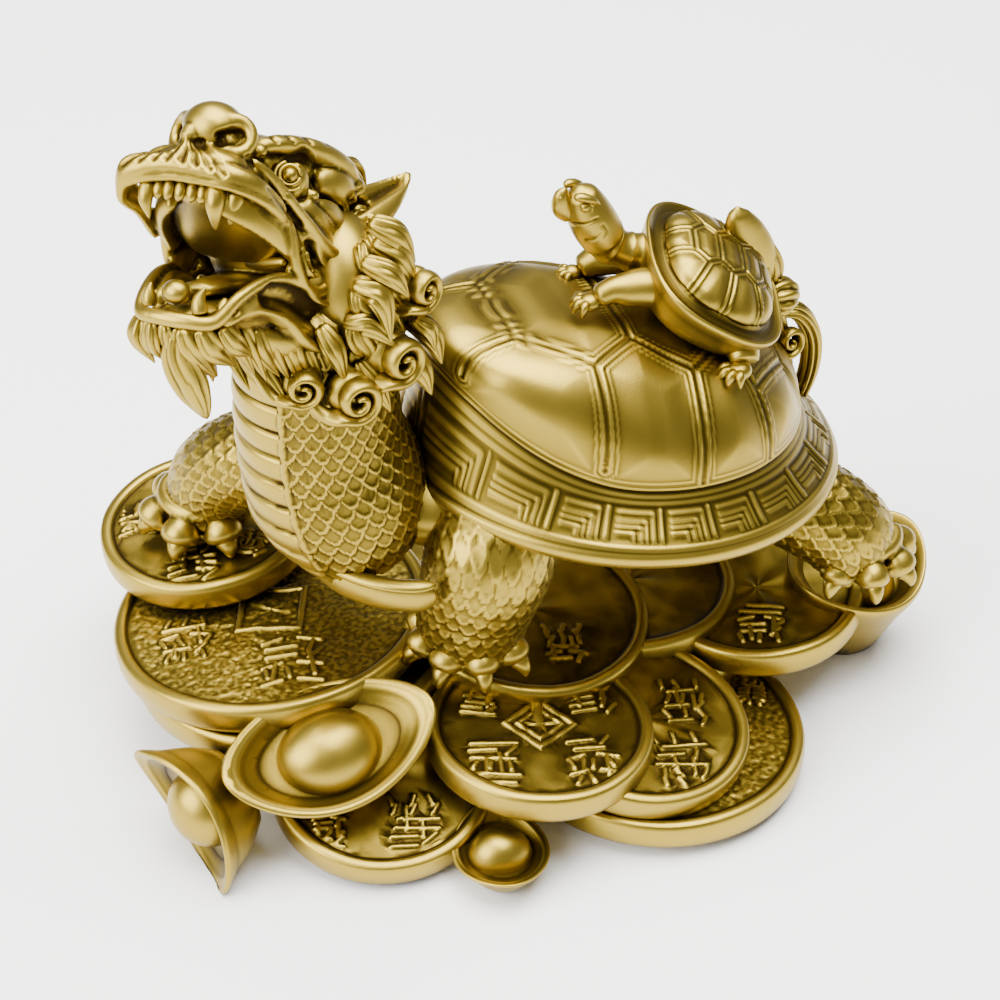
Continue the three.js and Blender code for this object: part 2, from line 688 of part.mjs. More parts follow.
function toGeometry(solid) {
  const mesh = solid.getMesh();
  const geometry = new THREE.BufferGeometry();
  geometry.setAttribute('position', new THREE.Float32BufferAttribute(Array.from(mesh.vertProperties), 3));
  geometry.setIndex(Array.from(mesh.triVerts));
  geometry.scale(share, share, share);
  return geometry;
}

const geometry = toGeometry(casting());
geometry.computeBoundingBox();
const middle = geometry.boundingBox.getCenter(new THREE.Vector3());

const dragonTurtle = new THREE.Mesh(geometry, gold);
dragonTurtle.name = 'dragon_turtle';

// The origin is under the middle of the whole figure
const figure = new THREE.Group();
figure.add(dragonTurtle);
figure.position.set(-middle.x, -middle.y, -geometry.boundingBox.min.z);

export default figure;
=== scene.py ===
"""Dresses the cast dragon turtle: shells, scales, curls, coins and ingots in gold lacquer."""

import logging
import math
from collections.abc import Callable, Sequence
from dataclasses import dataclass, field
from enum import Enum

import bpy
import numpy as np
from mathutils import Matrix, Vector, kdtree


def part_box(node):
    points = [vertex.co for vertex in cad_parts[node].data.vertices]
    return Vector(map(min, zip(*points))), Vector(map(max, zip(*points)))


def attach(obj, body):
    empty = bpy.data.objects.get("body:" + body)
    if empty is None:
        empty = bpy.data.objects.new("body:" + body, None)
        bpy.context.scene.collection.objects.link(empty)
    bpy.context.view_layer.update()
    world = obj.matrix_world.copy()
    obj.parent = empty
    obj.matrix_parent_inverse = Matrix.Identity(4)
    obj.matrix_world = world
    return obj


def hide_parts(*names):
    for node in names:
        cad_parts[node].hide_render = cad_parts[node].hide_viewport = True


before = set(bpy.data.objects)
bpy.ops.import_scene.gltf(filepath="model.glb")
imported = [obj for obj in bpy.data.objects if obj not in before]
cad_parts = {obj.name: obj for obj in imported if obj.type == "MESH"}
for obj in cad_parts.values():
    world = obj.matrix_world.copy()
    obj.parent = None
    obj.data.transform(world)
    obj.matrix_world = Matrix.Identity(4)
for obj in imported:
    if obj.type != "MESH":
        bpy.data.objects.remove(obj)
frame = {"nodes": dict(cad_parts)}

Array = np.ndarray
Point = tuple[float, float, float]
Relief = Callable[[Array, Array], Array]

MM = 0.001
NODE = "dragon_turtle"
BODY = "root"
# Lowest corner of the casting in the maker's own frame, in which all sizes below are given
CASTING_CORNER = (-49.2354, -66.4884, 0.0)

log = logging.getLogger("dragon_turtle")


def deselect() -> None:
    """Clears the selection, so that an operator acts on the new piece alone."""
    bpy.ops.object.select_all(action="DESELECT")


def activate(piece: bpy.types.Object) -> None:
    """Selects one piece and makes it the active one."""
    deselect()
    piece.select_set(True)
    bpy.context.view_layer.objects.active = piece


def positions(piece: bpy.types.Object) -> Array:
    """Returns the piece's vertices as rows of x, y, z."""
    flat = np.empty(len(piece.data.vertices) * 3)
    piece.data.vertices.foreach_get("co", flat)
    return flat.reshape(-1, 3)


def move_to(piece: bpy.types.Object, points: Array) -> None:
    """Moves every vertex of the piece to its row of points."""
    piece.data.vertices.foreach_set("co", np.ascontiguousarray(points, dtype=np.float32).ravel())
    piece.data.update()


def normals(piece: bpy.types.Object) -> Array:
    """Returns the piece's vertex normals as rows."""
    flat = np.empty(len(piece.data.vertices) * 3)
    piece.data.vertex_normals.foreach_get("vector", flat)
    return flat.reshape(-1, 3)


def press(piece: bpy.types.Object, height: Array) -> None:
    """Pushes each vertex out along its normal by its height in millimetres."""
    move_to(piece, positions(piece) + normals(piece) * height[:, None])


@dataclass
class Blank:
    """A ball of clay with the angle and the share from bottom to top of each vertex."""

    mesh: bpy.types.Mesh
    theta: Array
    rise: Array


class Clay:
    """Makes closed skins from balls that are added once and then copied."""

    blanks: dict[tuple[int, int], Blank] = {}

    @classmethod
    def blank(cls, around: int, along: int) -> Blank:
        """Adds a ball primitive for these counts, or returns the one that was kept.

        Args:
            around: Vertices round the ball.
            along: Rings from pole to pole.

        Returns:
            The kept ball.
        """
        key = (around, along)
        if key not in cls.blanks:
            deselect()
            bpy.ops.mesh.primitive_uv_sphere_add(segments=around, ring_count=along, radius=1)
            ball = bpy.context.object
            while ball.data.uv_layers:
                ball.data.uv_layers.remove(ball.data.uv_layers[0])
            points = positions(ball)
            theta = np.arctan2(points[:, 1], points[:, 0])
            rise = np.arccos(np.clip(-points[:, 2], -1, 1)) / math.pi
            mesh = ball.data
            bpy.data.objects.remove(ball)
            cls.blanks[key] = Blank(mesh, theta, rise)
        return cls.blanks[key]

    @classmethod
    def wrap(cls, around: int, along: int, place: Callable[[Array, Array], Array]) -> bpy.types.Object:
        """Copies a ball and moves each vertex to where `place` puts it.

        Args:
            around: Vertices round the ball.
            along: Rings from pole to pole.
            place: Gives a point for each angle and rise.

        Returns:
            The new closed skin.
        """
        kept = cls.blank(around, along)
        piece = bpy.data.objects.new("clay", kept.mesh.copy())
        bpy.context.scene.collection.objects.link(piece)
        move_to(piece, place(kept.theta, kept.rise))
        return piece

    @classmethod
    def discard(cls) -> None:
        """Removes the kept balls."""
        for kept in cls.blanks.values():
            bpy.data.meshes.remove(kept.mesh)
        cls.blanks.clear()


def spline(stations: Array, share: Array) -> Array:
    """Runs a smooth curve through stations.

    Args:
        stations: Rows of x, y, z and any more values.
        share: Shares of the way along, from 0 to 1.

    Returns:
        One row for each share.
    """
    count = len(stations)
    chord = np.concatenate([[0], np.cumsum(np.linalg.norm(np.diff(stations[:, :3], axis=0), axis=1))])
    chord = chord / chord[-1]
    slope = np.empty_like(stations)
    slope[1:-1] = (stations[2:] - stations[:-2]) / (chord[2:] - chord[:-2])[:, None]
    slope[0] = (stations[1] - stations[0]) / (chord[1] - chord[0])
    slope[-1] = (stations[-1] - stations[-2]) / (chord[-1] - chord[-2])
    k = np.clip(np.searchsorted(chord, share, side="right") - 1, 0, count - 2)
    span = (chord[k + 1] - chord[k])[:, None]
    f = ((share - chord[k])[:, None]) / span
    return (
        (2 * f**3 - 3 * f**2 + 1) * stations[k]
        + (f**3 - 2 * f**2 + f) * span * slope[k]
        + (3 * f**2 - 2 * f**3) * stations[k + 1]
        + (f**3 - f**2) * span * slope[k + 1]
    )


def unit(rows: Array) -> Array:
    """Returns the rows at length one."""
    return rows / np.maximum(np.linalg.norm(rows, axis=1), 1e-9)[:, None]


def loft(
    stations: Sequence[Sequence[float]],
    around: int = 24,
    along: int = 24,
    facing: Point = (0, 0, 1),
    caps: tuple[float, float] = (0.08, 0.08),
    shape: Relief | None = None,
) -> bpy.types.Object:
    """Wraps a skin round a curve through stations.

    Args:
        stations: Rows of x, y, z, half width and half depth; the depth may be left out.
        around: Vertices round the curve.
        along: Rings along the curve.
        facing: Way that the depth turns to.
        caps: Shares of the way over which each end is rounded off.
        shape: Factor on the radius for each angle and rise.

    Returns:
        The new closed skin.
    """
    table = np.array([list(row) + ([row[3]] if len(row) == 4 else []) for row in stations], float)

    def place(theta: Array, rise: Array) -> Array:
        """Puts each vertex on its ring."""
        at = spline(table, rise)
        ahead = spline(table, np.clip(rise + 1e-3, 0, 1)) - spline(table, np.clip(rise - 1e-3, 0, 1))
        along_way = unit(ahead[:, :3])
        across = unit(np.cross(along_way, np.array(facing, float)))
        over = np.cross(along_way, across)
        start = np.clip(rise / max(caps[0], 1e-6), 0, 1)
        end = np.clip((1 - rise) / max(caps[1], 1e-6), 0, 1)
        full = np.sqrt(1 - (1 - start) ** 2) * np.sqrt(1 - (1 - end) ** 2)
        if shape is not None:
            full = full * shape(theta, rise)
        width = np.maximum(at[:, 3], 0) * full * np.cos(theta)
        depth = np.maximum(at[:, 4], 0) * full * np.sin(theta)
        return at[:, :3] + across * width[:, None] + over * depth[:, None]

    return Clay.wrap(around, along, place)


def ball(centre: Point, radii: Point, around: int = 24, along: int = 16) -> bpy.types.Object:
    """Makes a squashed ball at a centre with three half sizes."""
    def place(theta: Array, rise: Array) -> Array:
        """Puts each vertex on the ball."""
        flat = np.sin(rise * math.pi)
        unit_ball = np.stack([flat * np.cos(theta), flat * np.sin(theta), -np.cos(rise * math.pi)], 1)
        return unit_ball * np.array(radii) + np.array(centre)
    return Clay.wrap(around, along, place)


def join(pieces: Sequence[bpy.types.Object], name: str) -> bpy.types.Object:
    """Joins pieces into one object of that name."""
    deselect()
    for piece in pieces:
        piece.select_set(True)
    bpy.context.view_layer.objects.active = pieces[0]
    if len(pieces) > 1:
        bpy.ops.object.join()
    joined = bpy.context.view_layer.objects.active
    joined.name = name
    joined.data.name = name
    return joined


def apply_modifier(piece: bpy.types.Object, kind: str, **settings: object) -> None:
    """Adds a modifier with its settings and applies it."""
    activate(piece)
    modifier = piece.modifiers.new(kind.title(), kind)
    for key, value in settings.items():
        setattr(modifier, key, value)
    bpy.ops.object.modifier_apply(modifier=modifier.name)


def fuse(piece: bpy.types.Object, voxel: float, smooth: int = 4) -> None:
    """Melts overlapping clay into one skin.

    Args:
        piece: Overlapping closed skins.
        voxel: Cell size in millimetres.
        smooth: Rounds of smoothing after it.
    """
    apply_modifier(piece, "REMESH", mode="VOXEL", voxel_size=voxel)
    if smooth:
        apply_modifier(piece, "SMOOTH", factor=0.5, iterations=smooth)


def place_with(piece: bpy.types.Object, matrix: Array) -> bpy.types.Object:
    """Turns and moves the piece's mesh by a 4 x 4 matrix and returns it."""
    points = positions(piece)
    move_to(piece, points @ matrix[:3, :3].T + matrix[:3, 3])
    return piece


def copy_of(piece: bpy.types.Object) -> bpy.types.Object:
    """Returns a copy with its own mesh."""
    twin = bpy.data.objects.new(piece.name, piece.data.copy())
    bpy.context.scene.collection.objects.link(twin)
    return twin


def mirror_of(piece: bpy.types.Object) -> bpy.types.Object:
    """Returns the piece's mirror image across x, with its faces still outwards."""
    twin = copy_of(piece)
    move_to(twin, positions(twin) * np.array([-1, 1, 1]))
    twin.data.flip_normals()
    return twin


def pair(piece: bpy.types.Object) -> list[bpy.types.Object]:
    """Returns the piece and its mirror image."""
    return [piece, mirror_of(piece)]


def pose(x: float, y: float, z: float, yaw: float = 0, pitch: float = 0, roll: float = 0) -> Array:
    """Returns a place and heading: local x is the creature's left, y its back, z its up."""
    a, b, c = (math.radians(v) for v in (yaw, -pitch, -roll))
    turn_z = np.array([[math.cos(a), -math.sin(a), 0], [math.sin(a), math.cos(a), 0], [0, 0, 1]])
    turn_x = np.array([[1, 0, 0], [0, math.cos(b), -math.sin(b)], [0, math.sin(b), math.cos(b)]])
    turn_y = np.array([[math.cos(c), 0, math.sin(c)], [0, 1, 0], [-math.sin(c), 0, math.cos(c)]])
    matrix = np.eye(4)
    matrix[:3, :3] = turn_z @ turn_x @ turn_y
    matrix[:3, 3] = (x, y, z)
    return matrix


def ridge(distance: Array, half: float) -> Array:
    """Returns a soft rounded ridge, 1 on its line and 0 from `half` outwards."""
    x = np.clip(np.abs(distance) / half, 0, 1)
    return (1 - x * x) ** 2


def step(value: Array, start: float, end: float) -> Array:
    """Returns a soft step from 0 at `start` to 1 at `end`."""
    x = np.clip((value - start) / (end - start), 0, 1)
    return x * x * (3 - 2 * x)


def hash_noise(cells: Array, seed: int = 0) -> Array:
    """Returns a fixed random number from 0 to 1 for each whole-number cell of one to three axes."""
    mixed = np.zeros(len(cells), np.uint64) + np.uint64(seed * 7919 + 17)
    for axis, prime in zip(range(cells.shape[1]), (73856093, 19349663, 83492791)):
        mixed ^= (cells[:, axis].astype(np.int64) * prime).astype(np.uint64)
    mixed ^= mixed >> np.uint64(13)
    mixed *= np.uint64(0x5BD1E995)
    mixed ^= mixed >> np.uint64(15)
    return (mixed & np.uint64(0xFFFFF)).astype(float) / 0xFFFFF


def soft_noise(points: Array, size: float, seed: int = 0) -> Array:
    """Returns smooth noise from -1 to 1 with bumps of `size` millimetres."""
    grid = points / size
    base = np.floor(grid)
    f = grid - base
    f = f * f * (3 - 2 * f)
    total = np.zeros(len(points))
    for corner in np.ndindex(*(2,) * points.shape[1]):
        weight = np.ones(len(points))
        for axis, bit in enumerate(corner):
            weight *= f[:, axis] if bit else 1 - f[:, axis]
        total += weight * hash_noise(base + np.array(corner), seed)
    return 2 * total - 1


def segment_distance(x: Array, y: Array, ends: tuple[float, float, float, float]) -> Array:
    """Returns each point's distance to one segment x0, y0, x1, y1."""
    x0, y0, x1, y1 = ends
    dx, dy = x1 - x0, y1 - y0
    share = np.clip(((x - x0) * dx + (y - y0) * dy) / (dx * dx + dy * dy + 1e-12), 0, 1)
    return np.hypot(x - x0 - share * dx, y - y0 - share * dy)


def scales(across: Array, down: Array, width: float, height: float) -> Array:
    """Overlapping rounded scales that point down the second axis, each with a raised edge.

    Args:
        across: Millimetres across the scales.
        down: Millimetres along the way that they point.
        width: Width of one scale.
        height: Rise of one row.

    Returns:
        Height from 0 in the gap under a scale to 1 on its edge.
    """
    over = 0.75
    row = np.floor(down / height)
    found = np.zeros(len(across))
    done = np.zeros(len(across), bool)
    for back in (1, 0):
        own = row - back
        cell = across / width + 0.5 * (own % 2)
        x = 2 * np.abs(cell - np.round(cell))
        reach = (down - own * height) / height
        edge = 1 + over * np.sqrt(np.clip(1 - x * x, 0, 1)) - 0.2 * x
        inside = ~done & ((reach <= edge) | (back == 0))
        gap = edge - reach
        lift = 0.45 * np.clip(reach / edge, 0, 1) + 0.55 * ridge(gap - 0.2, 0.2)
        found = np.where(inside, lift * step(gap, 0.0, 0.1), found)
        done |= inside
    return found


def near_lines(points: Array, lines: Sequence[Array], reach: float) -> Array:
    """Returns each point's distance to the nearest of some curves, or `reach` beyond that.

    Args:
        points: Rows of x, y, z.
        lines: Curves as rows of x, y, z, a few tenths of a millimetre apart.
        reach: Largest distance that matters.

    Returns:
        One distance for each point.
    """
    dots = np.concatenate(lines)
    tree = kdtree.KDTree(len(dots))
    for index, dot in enumerate(dots):
        tree.insert(dot, index)
    tree.balance()
    low, high = dots.min(0) - reach, dots.max(0) + reach
    close = np.flatnonzero(((points >= low) & (points <= high)).all(1))
    distance = np.full(len(points), reach)
    for index in close:
        distance[index] = min(reach, tree.find(points[index])[2])
    return distance


def curve_dots(line: Sequence[Point], spacing: float = 0.2) -> Array:
    """Returns dots along a smooth curve through some points."""
    table = np.array(line, float)
    length = np.linalg.norm(np.diff(table, axis=0), axis=1).sum()
    return spline(table, np.linspace(0, 1, max(3, int(length / spacing))))


def crease(
    piece: bpy.types.Object, lines: Sequence[Sequence[Point]], half: float, height: float,
    toward: Point | None = None,
) -> None:
    """Raises a fold along each line, or sinks a groove where the height is below 0.

    Args:
        piece: Skin that takes the folds.
        lines: Points of each line.
        half: Half width of a fold.
        height: Rise of a fold.
        toward: Where given, the lines are laid on the skin along this way, and only skin
            that faces it is moved.
    """
    points, dots = positions(piece), [curve_dots(line) for line in lines]
    if toward is None:
        press(piece, height * ridge(near_lines(points, dots, half), half))
        return
    way = unit(np.array([toward], float))[0]
    flat = np.eye(3) - 0.86 * np.outer(way, way)
    distance = near_lines(points @ flat, [line @ flat for line in dots], half)
    press(piece, height * ridge(distance, half) * step(normals(piece) @ way, 0.0, 0.4))


def linear(code: str) -> tuple[float, float, float, float]:
    """Turns an sRGB hex colour to the linear colour that the nodes take."""
    channels = [int(code[i : i + 2], 16) / 255 for i in (1, 3, 5)]
    return tuple(c / 12.92 if c <= 0.04045 else ((c + 0.055) / 1.055) ** 2.4 for c in channels) + (1.0,)


def add_node(tree: bpy.types.NodeTree, kind: str, **settings: object) -> bpy.types.Node:
    """Adds a node with its settings and links.

    Args:
        tree: Node tree that takes it.
        kind: Blender's name of the node type.
        **settings: Node properties, and under `inputs` a dict of socket to value or output socket.

    Returns:
        The new node.
    """
    node = tree.nodes.new(kind)
    inputs = settings.pop("inputs", {})
    for key, value in settings.items():
        setattr(node, key, value)
    for key, value in inputs.items():
        if isinstance(value, bpy.types.NodeSocket):
            tree.links.new(value, node.inputs[key])
        else:
            node.inputs[key].default_value = value
    return node


@dataclass(frozen=True)
class GoldLacquer:
    """Gold lacquer over a cast body, with painted highlight: what stands proud takes a paler colour.

    Painted shade: a dark brown colour fills the hollows and every spot that the ambient occlusion node
    finds sheltered, between parts too, which gives the eye dark seams, warm flanks and pale crests on a
    satin metal.
    """

    name: str = "gold_lacquer_over_cast_resin"
    # Painted highlight: the paler colour laid on what stands proud.
    crest: str = "#9E8732"
    flank: str = "#705E1E"
    # Painted shade: the dark colour laid in hollows and in spots sheltered by nearby surfaces.
    painted_shade: str = "#2A1E09"
    roughness: float = 0.35
    grain_mm: float = 0.45
    cloud_mm: float = 9.0

    def build(self) -> bpy.types.Material:
        """Builds the node tree and returns the material."""
        material = bpy.data.materials.new(self.name)
        material.use_nodes = True
        tree = material.node_tree
        tree.nodes.clear()
        place = add_node(tree, "ShaderNodeTexCoord").outputs["Object"]
        hollow = add_node(tree, "ShaderNodeAttribute", attribute_name="hollow").outputs["Fac"]
        cloud = add_node(
            tree, "ShaderNodeTexNoise",
            inputs={"Vector": place, "Scale": 1 / (self.cloud_mm * MM), "Detail": 3.0},
        ).outputs["Fac"]
        grain = add_node(
            tree, "ShaderNodeTexNoise",
            inputs={"Vector": place, "Scale": 1 / (self.grain_mm * MM), "Detail": 2.0},
        ).outputs["Fac"]
        # Ambient occlusion feeds the painted shade: spots near other surfaces, between parts too, go dark.
        shade = add_node(
            tree, "ShaderNodeAmbientOcclusion", samples=8,
            inputs={"Distance": 4.0 * MM},
        ).outputs["AO"]
        # Share of painted highlight: rises from the hollows to what stands proud.
        highlight_share = add_node(
            tree, "ShaderNodeMapRange",
            inputs={"Value": hollow, "From Min": 0.42, "From Max": 0.62},
        ).outputs["Result"]
        sunk = add_node(
            tree, "ShaderNodeMapRange",
            inputs={"Value": hollow, "From Min": 0.0, "From Max": 0.35},
        ).outputs["Result"]
        shelter = add_node(
            tree, "ShaderNodeMapRange",
            inputs={"Value": shade, "From Min": 0.03, "From Max": 0.42},
        ).outputs["Result"]
        # Share left without painted shade: 0 in deep hollows and in sheltered spots.
        unshaded = add_node(
            tree, "ShaderNodeMath", operation="MULTIPLY", inputs={0: sunk, 1: shelter},
        ).outputs[0]
        # Painted highlight: the paler crest colour takes over from the flank colour on what stands proud.
        highlighted = add_node(
            tree, "ShaderNodeMix", data_type="RGBA",
            inputs={0: highlight_share, 6: linear(self.flank), 7: linear(self.crest)},
        ).outputs[2]
        # Painted shade: the dark colour takes over in hollows and sheltered spots.
        colour = add_node(
            tree, "ShaderNodeMix", data_type="RGBA",
            inputs={0: unshaded, 6: linear(self.painted_shade), 7: highlighted},
        ).outputs[2]
        rough = add_node(
            tree, "ShaderNodeMapRange",
            inputs={"Value": cloud, "To Min": self.roughness - 0.05, "To Max": self.roughness + 0.09},
        ).outputs["Result"]
        rougher = add_node(
            tree, "ShaderNodeMapRange",
            inputs={"Value": unshaded, "To Min": 0.55, "To Max": 0.0},
        ).outputs["Result"]
        total = add_node(
            tree, "ShaderNodeMath", operation="MAXIMUM", inputs={0: rough, 1: rougher},
        ).outputs[0]
        bump = add_node(
            tree, "ShaderNodeBump",
            inputs={"Height": grain, "Strength": 0.35, "Distance": 0.05 * MM},
        ).outputs["Normal"]
        shader = add_node(
            tree, "ShaderNodeBsdfPrincipled",
            inputs={"Base Color": colour, "Metallic": 1.0, "Roughness": total, "Normal": bump},
        )
        add_node(tree, "ShaderNodeOutputMaterial", inputs={"Surface": shader.outputs["BSDF"]})
        return material


def mark_hollows(
    piece: bpy.types.Object, scales_mm: Sequence[tuple[int, float]] = ((3, 0.05), (14, 0.22)),
) -> None:
    """Keeps on each vertex how far it lies in a hollow, 0, or on a crest, 1.

    Args:
        piece: Piece in millimetres.
        scales_mm: Rounds of smoothing and the depth in millimetres that counts in full.
    """
    mesh = piece.data
    count = len(mesh.vertices)
    ends = np.empty(len(mesh.edges) * 2, np.int32)
    mesh.edges.foreach_get("vertices", ends)
    a, b = ends.reshape(-1, 2).T
    degree = np.maximum(np.bincount(a, minlength=count) + np.bincount(b, minlength=count), 1)
    points = positions(piece)
    outward = normals(piece)
    soft = points.copy()
    value = np.full(count, 0.5)
    done = 0
    for rounds, depth in scales_mm:
        for _ in range(rounds - done):
            total = np.stack([
                np.bincount(a, soft[b, k], count) + np.bincount(b, soft[a, k], count) for k in range(3)
            ], 1)
            soft = 0.3 * soft + 0.7 * total / degree[:, None]
        done = rounds
        value += 0.5 * np.clip(((points - soft) * outward).sum(1) / depth, -1, 1) / len(scales_mm)
    # The material lays painted shade on low values and a painted highlight on high ones.
    layer = mesh.attributes.new("hollow", "FLOAT", "POINT")
    layer.data.foreach_set("value", value.astype(np.float32))


def settle(piece: bpy.types.Object, finish: bpy.types.Material, kept: float = 1.0) -> bpy.types.Object:
    """Dresses a finished piece and sets it in the casting's place, in metres.

    Args:
        piece: Piece in millimetres in the maker's frame.
        finish: Material for all of it.
        kept: Share of the faces that stays, thinned where the surface is calm.

    Returns:
        The same piece.
    """
    mark_hollows(piece)
    if kept < 1:
        apply_modifier(piece, "DECIMATE", ratio=kept)
    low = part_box(NODE)[0]
    shift = np.array(low) - np.array(CASTING_CORNER) * MM
    move_to(piece, positions(piece) * MM + shift)
    piece.data.polygons.foreach_set("use_smooth", np.ones(len(piece.data.polygons), bool))
    piece.data.materials.clear()
    piece.data.materials.append(finish)
    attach(piece, BODY)
    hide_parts(NODE)
    triangles = sum(len(p.vertices) - 2 for p in piece.data.polygons)
    log.info("%s: %d triangles", piece.name, triangles)
    return piece


class Ground(Enum):
    """How a coin's field is finished."""

    SMOOTH = "smooth"
    GRAINY = "grainy"


@dataclass(frozen=True)
class Coin:
    """One coin: centre of its upper face, radius, lean to x and y, field and marks."""

    x: float
    y: float
    top: float
    radius: float
    lean_x: float
    lean_y: float
    ground: Ground = Ground.SMOOTH
    marks: tuple[tuple[float, float, float, float, int], ...] = ()
    frame: tuple[float, float, float] | None = None
    around: int = 340
    along: int = 116
    thickness: float = 5.2
    rim: float = 2.1
    recess: float = 0.7

    def profile(self) -> Array:
        """Returns the coin's half section as rows of rise, radius and height."""
        r, t, w, d = self.radius, self.thickness, self.rim, self.recess
        return np.array([
            (0, 0, -t), (0.05, r - 1.0, -t), (0.075, r - 0.3, -t + 0.3), (0.1, r, -t + 1.1),
            (0.15, r + 0.1, -0.5 * t), (0.2, r, -1.1), (0.225, r - 0.28, -0.3), (0.25, r - 0.9, 0),
            (0.29, r - w + 0.55, 0), (0.315, r - w + 0.1, -0.25 * d), (0.34, r - w - 0.35, -d), (1, 0, -d),
        ])

    def field_height(self, x: Array, y: Array) -> Array:
        """Returns the relief on the sunk field: grain, stroke marks and the square frame."""
        height = np.zeros(len(x))
        inside = np.clip((self.radius - self.rim - 0.6 - np.hypot(x, y)) / 0.8, 0, 1)
        if self.ground is Ground.GRAINY:
            flat = np.stack([x, y], 1)
            height += 0.09 * soft_noise(flat, 0.8, 5) + 0.06 * soft_noise(flat, 0.5, 9)
        else:
            height += 0.05 * soft_noise(np.stack([x, y], 1), 2.5, 3)
        marks = np.zeros(len(x))
        for cx, cy, half, turn, seed in self.marks:
            c, s = math.cos(math.radians(turn)), math.sin(math.radians(turn))
            u = ((x - cx) * c + (y - cy) * s) / half
            v = (-(x - cx) * s + (y - cy) * c) / half
            for ends in strokes(seed):
                marks = np.maximum(marks, 1 - step(half * segment_distance(u, v, ends), 0.24, 0.52))
        if self.frame is not None:
            side, turn, double = self.frame
            c, s = math.cos(math.radians(turn)), math.sin(math.radians(turn))
            square = np.maximum(np.abs(x * c + y * s), np.abs(-x * s + y * c))
            marks = np.maximum(marks, 1 - step(np.abs(square - side), 0.3, 0.6))
            if double:
                marks = np.maximum(marks, 1 - step(np.abs(square - side + double), 0.25, 0.5))
        return (height * (1 - marks) + 0.42 * marks) * inside

    def build(self) -> bpy.types.Object:
        """Makes the coin in its place."""
        table = self.profile()
        rounded = 1 + 0.006 * math.sin(self.x)

        def place(theta: Array, rise: Array) -> Array:
            """Puts each vertex on the coin."""
            r = np.interp(rise, table[:, 0], table[:, 1])
            z = np.interp(rise, table[:, 0], table[:, 2])
            x, y = r * np.cos(theta), r * np.sin(theta)
            upper = rise > 0.33
            z[upper] += self.field_height(x[upper], y[upper])
            wobble = 0.12 * np.sin(3 * theta + self.x) + 0.07 * np.sin(7 * theta + self.y)
            z += np.where(rise > 0.12, wobble, 0)
            return np.stack([x * rounded, y, z], 1)

        coin = Clay.wrap(self.around, self.along, place)
        lean = Vector((self.lean_x, self.lean_y, math.sqrt(1 - self.lean_x**2 - self.lean_y**2)))
        turn = np.eye(4)
        turn[:3, :3] = np.array(Vector((0, 0, 1)).rotation_difference(lean).to_matrix())
        turn[:3, 3] = (self.x, self.y, self.top)
        return place_with(coin, turn)


def strokes(seed: int) -> list[tuple[float, float, float, float]]:
    """Returns rows of short strokes in a block from -1 to 1; they spell nothing."""
    rng = np.random.default_rng(seed)
    found = []
    for row in (-0.88, -0.52, -0.16, 0.2, 0.56, 0.9):
        kind = rng.integers(0, 4)
        if kind == 0:
            left = rng.uniform(-0.9, -0.5)
            found.append((left, row, rng.uniform(0.4, 0.9), row + rng.uniform(-0.08, 0.08)))
        elif kind == 1:
            found.append((-0.85, row - 0.1, -0.3, row + 0.08))
            found.append((0.15, row + 0.08, 0.8, row - 0.1))
        elif kind == 2:
            for x in (-0.7, -0.1, 0.6):
                found.append((x, row - 0.16, x + rng.uniform(-0.2, 0.2), row + 0.18))
        else:
            found.append((-0.75, row, 0.1, row + 0.05))
            found.append((rng.uniform(0.3, 0.5), row - 0.18, rng.uniform(0.5, 0.9), row + 0.18))
    for x in (rng.uniform(-0.6, -0.2), rng.uniform(0.2, 0.6)):
        low = rng.uniform(-0.9, -0.1)
        found.append((x, low, x + rng.uniform(-0.1, 0.1), low + rng.uniform(0.5, 0.9)))
    return found


@dataclass(frozen=True)
class Ingot:
    """Boat-shaped ingot: middle of the rim, half sizes, long axis and the way it opens."""

    at: Point
    length: float
    width: float
    height: float
    along: Point
    opening: Point
    around: int = 96
    rings: int = 56

    def build(self) -> list[bpy.types.Object]:
        """Makes the hull and the dome in its hollow."""
        h, w, length = self.height, self.width, self.length
        rim = 1.1
        table = np.array(
            [
                (0, 0, -h), (0.08, 0.42, -h), (0.12, 0.5, -0.97 * h), (0.25, 0.62, -0.75 * h),
                (0.4, 0.78, -0.42 * h), (0.52, 0.95, -0.14 * h), (0.56, 1.0, -0.05 * h), (0.585, 1.01, 0.0),
                (0.61, 0.985, 0.05 * h), (0.66, 0.9, 0.02 * h), (0.74, 0.78, -0.06 * h),
                (0.84, 0.66, -0.16 * h), (1, 0, -0.24 * h),
            ]
        )

        def place(theta: Array, rise: Array) -> Array:
            """Puts each vertex on the hull."""
            r = np.interp(rise, table[:, 0], table[:, 1])
            z = np.interp(rise, table[:, 0], table[:, 2])
            x, y = r * np.cos(theta), r * np.sin(theta)
            lift = 0.2 * length * y * y * step(z / h, -0.6, -0.2)
            edge = 0.12 * rim * ridge(r - 0.86, 0.05)
            return np.stack([x * w * (1 - 0.18 * y * y), y * length, z + lift + edge], 1)

        hull = Clay.wrap(self.around, self.rings, place)
        dome = ball((0, 0, -0.25 * h), (0.66 * w, 0.5 * length, 0.62 * w), 64, 40)
        back = Vector(self.along).normalized()
        across = back.cross(Vector(self.opening)).normalized()
        up = across.cross(back)
        turn = np.eye(4)
        turn[:3, 0], turn[:3, 1], turn[:3, 2], turn[:3, 3] = across, back, up, self.at
        return [place_with(hull, turn), place_with(dome, turn)]


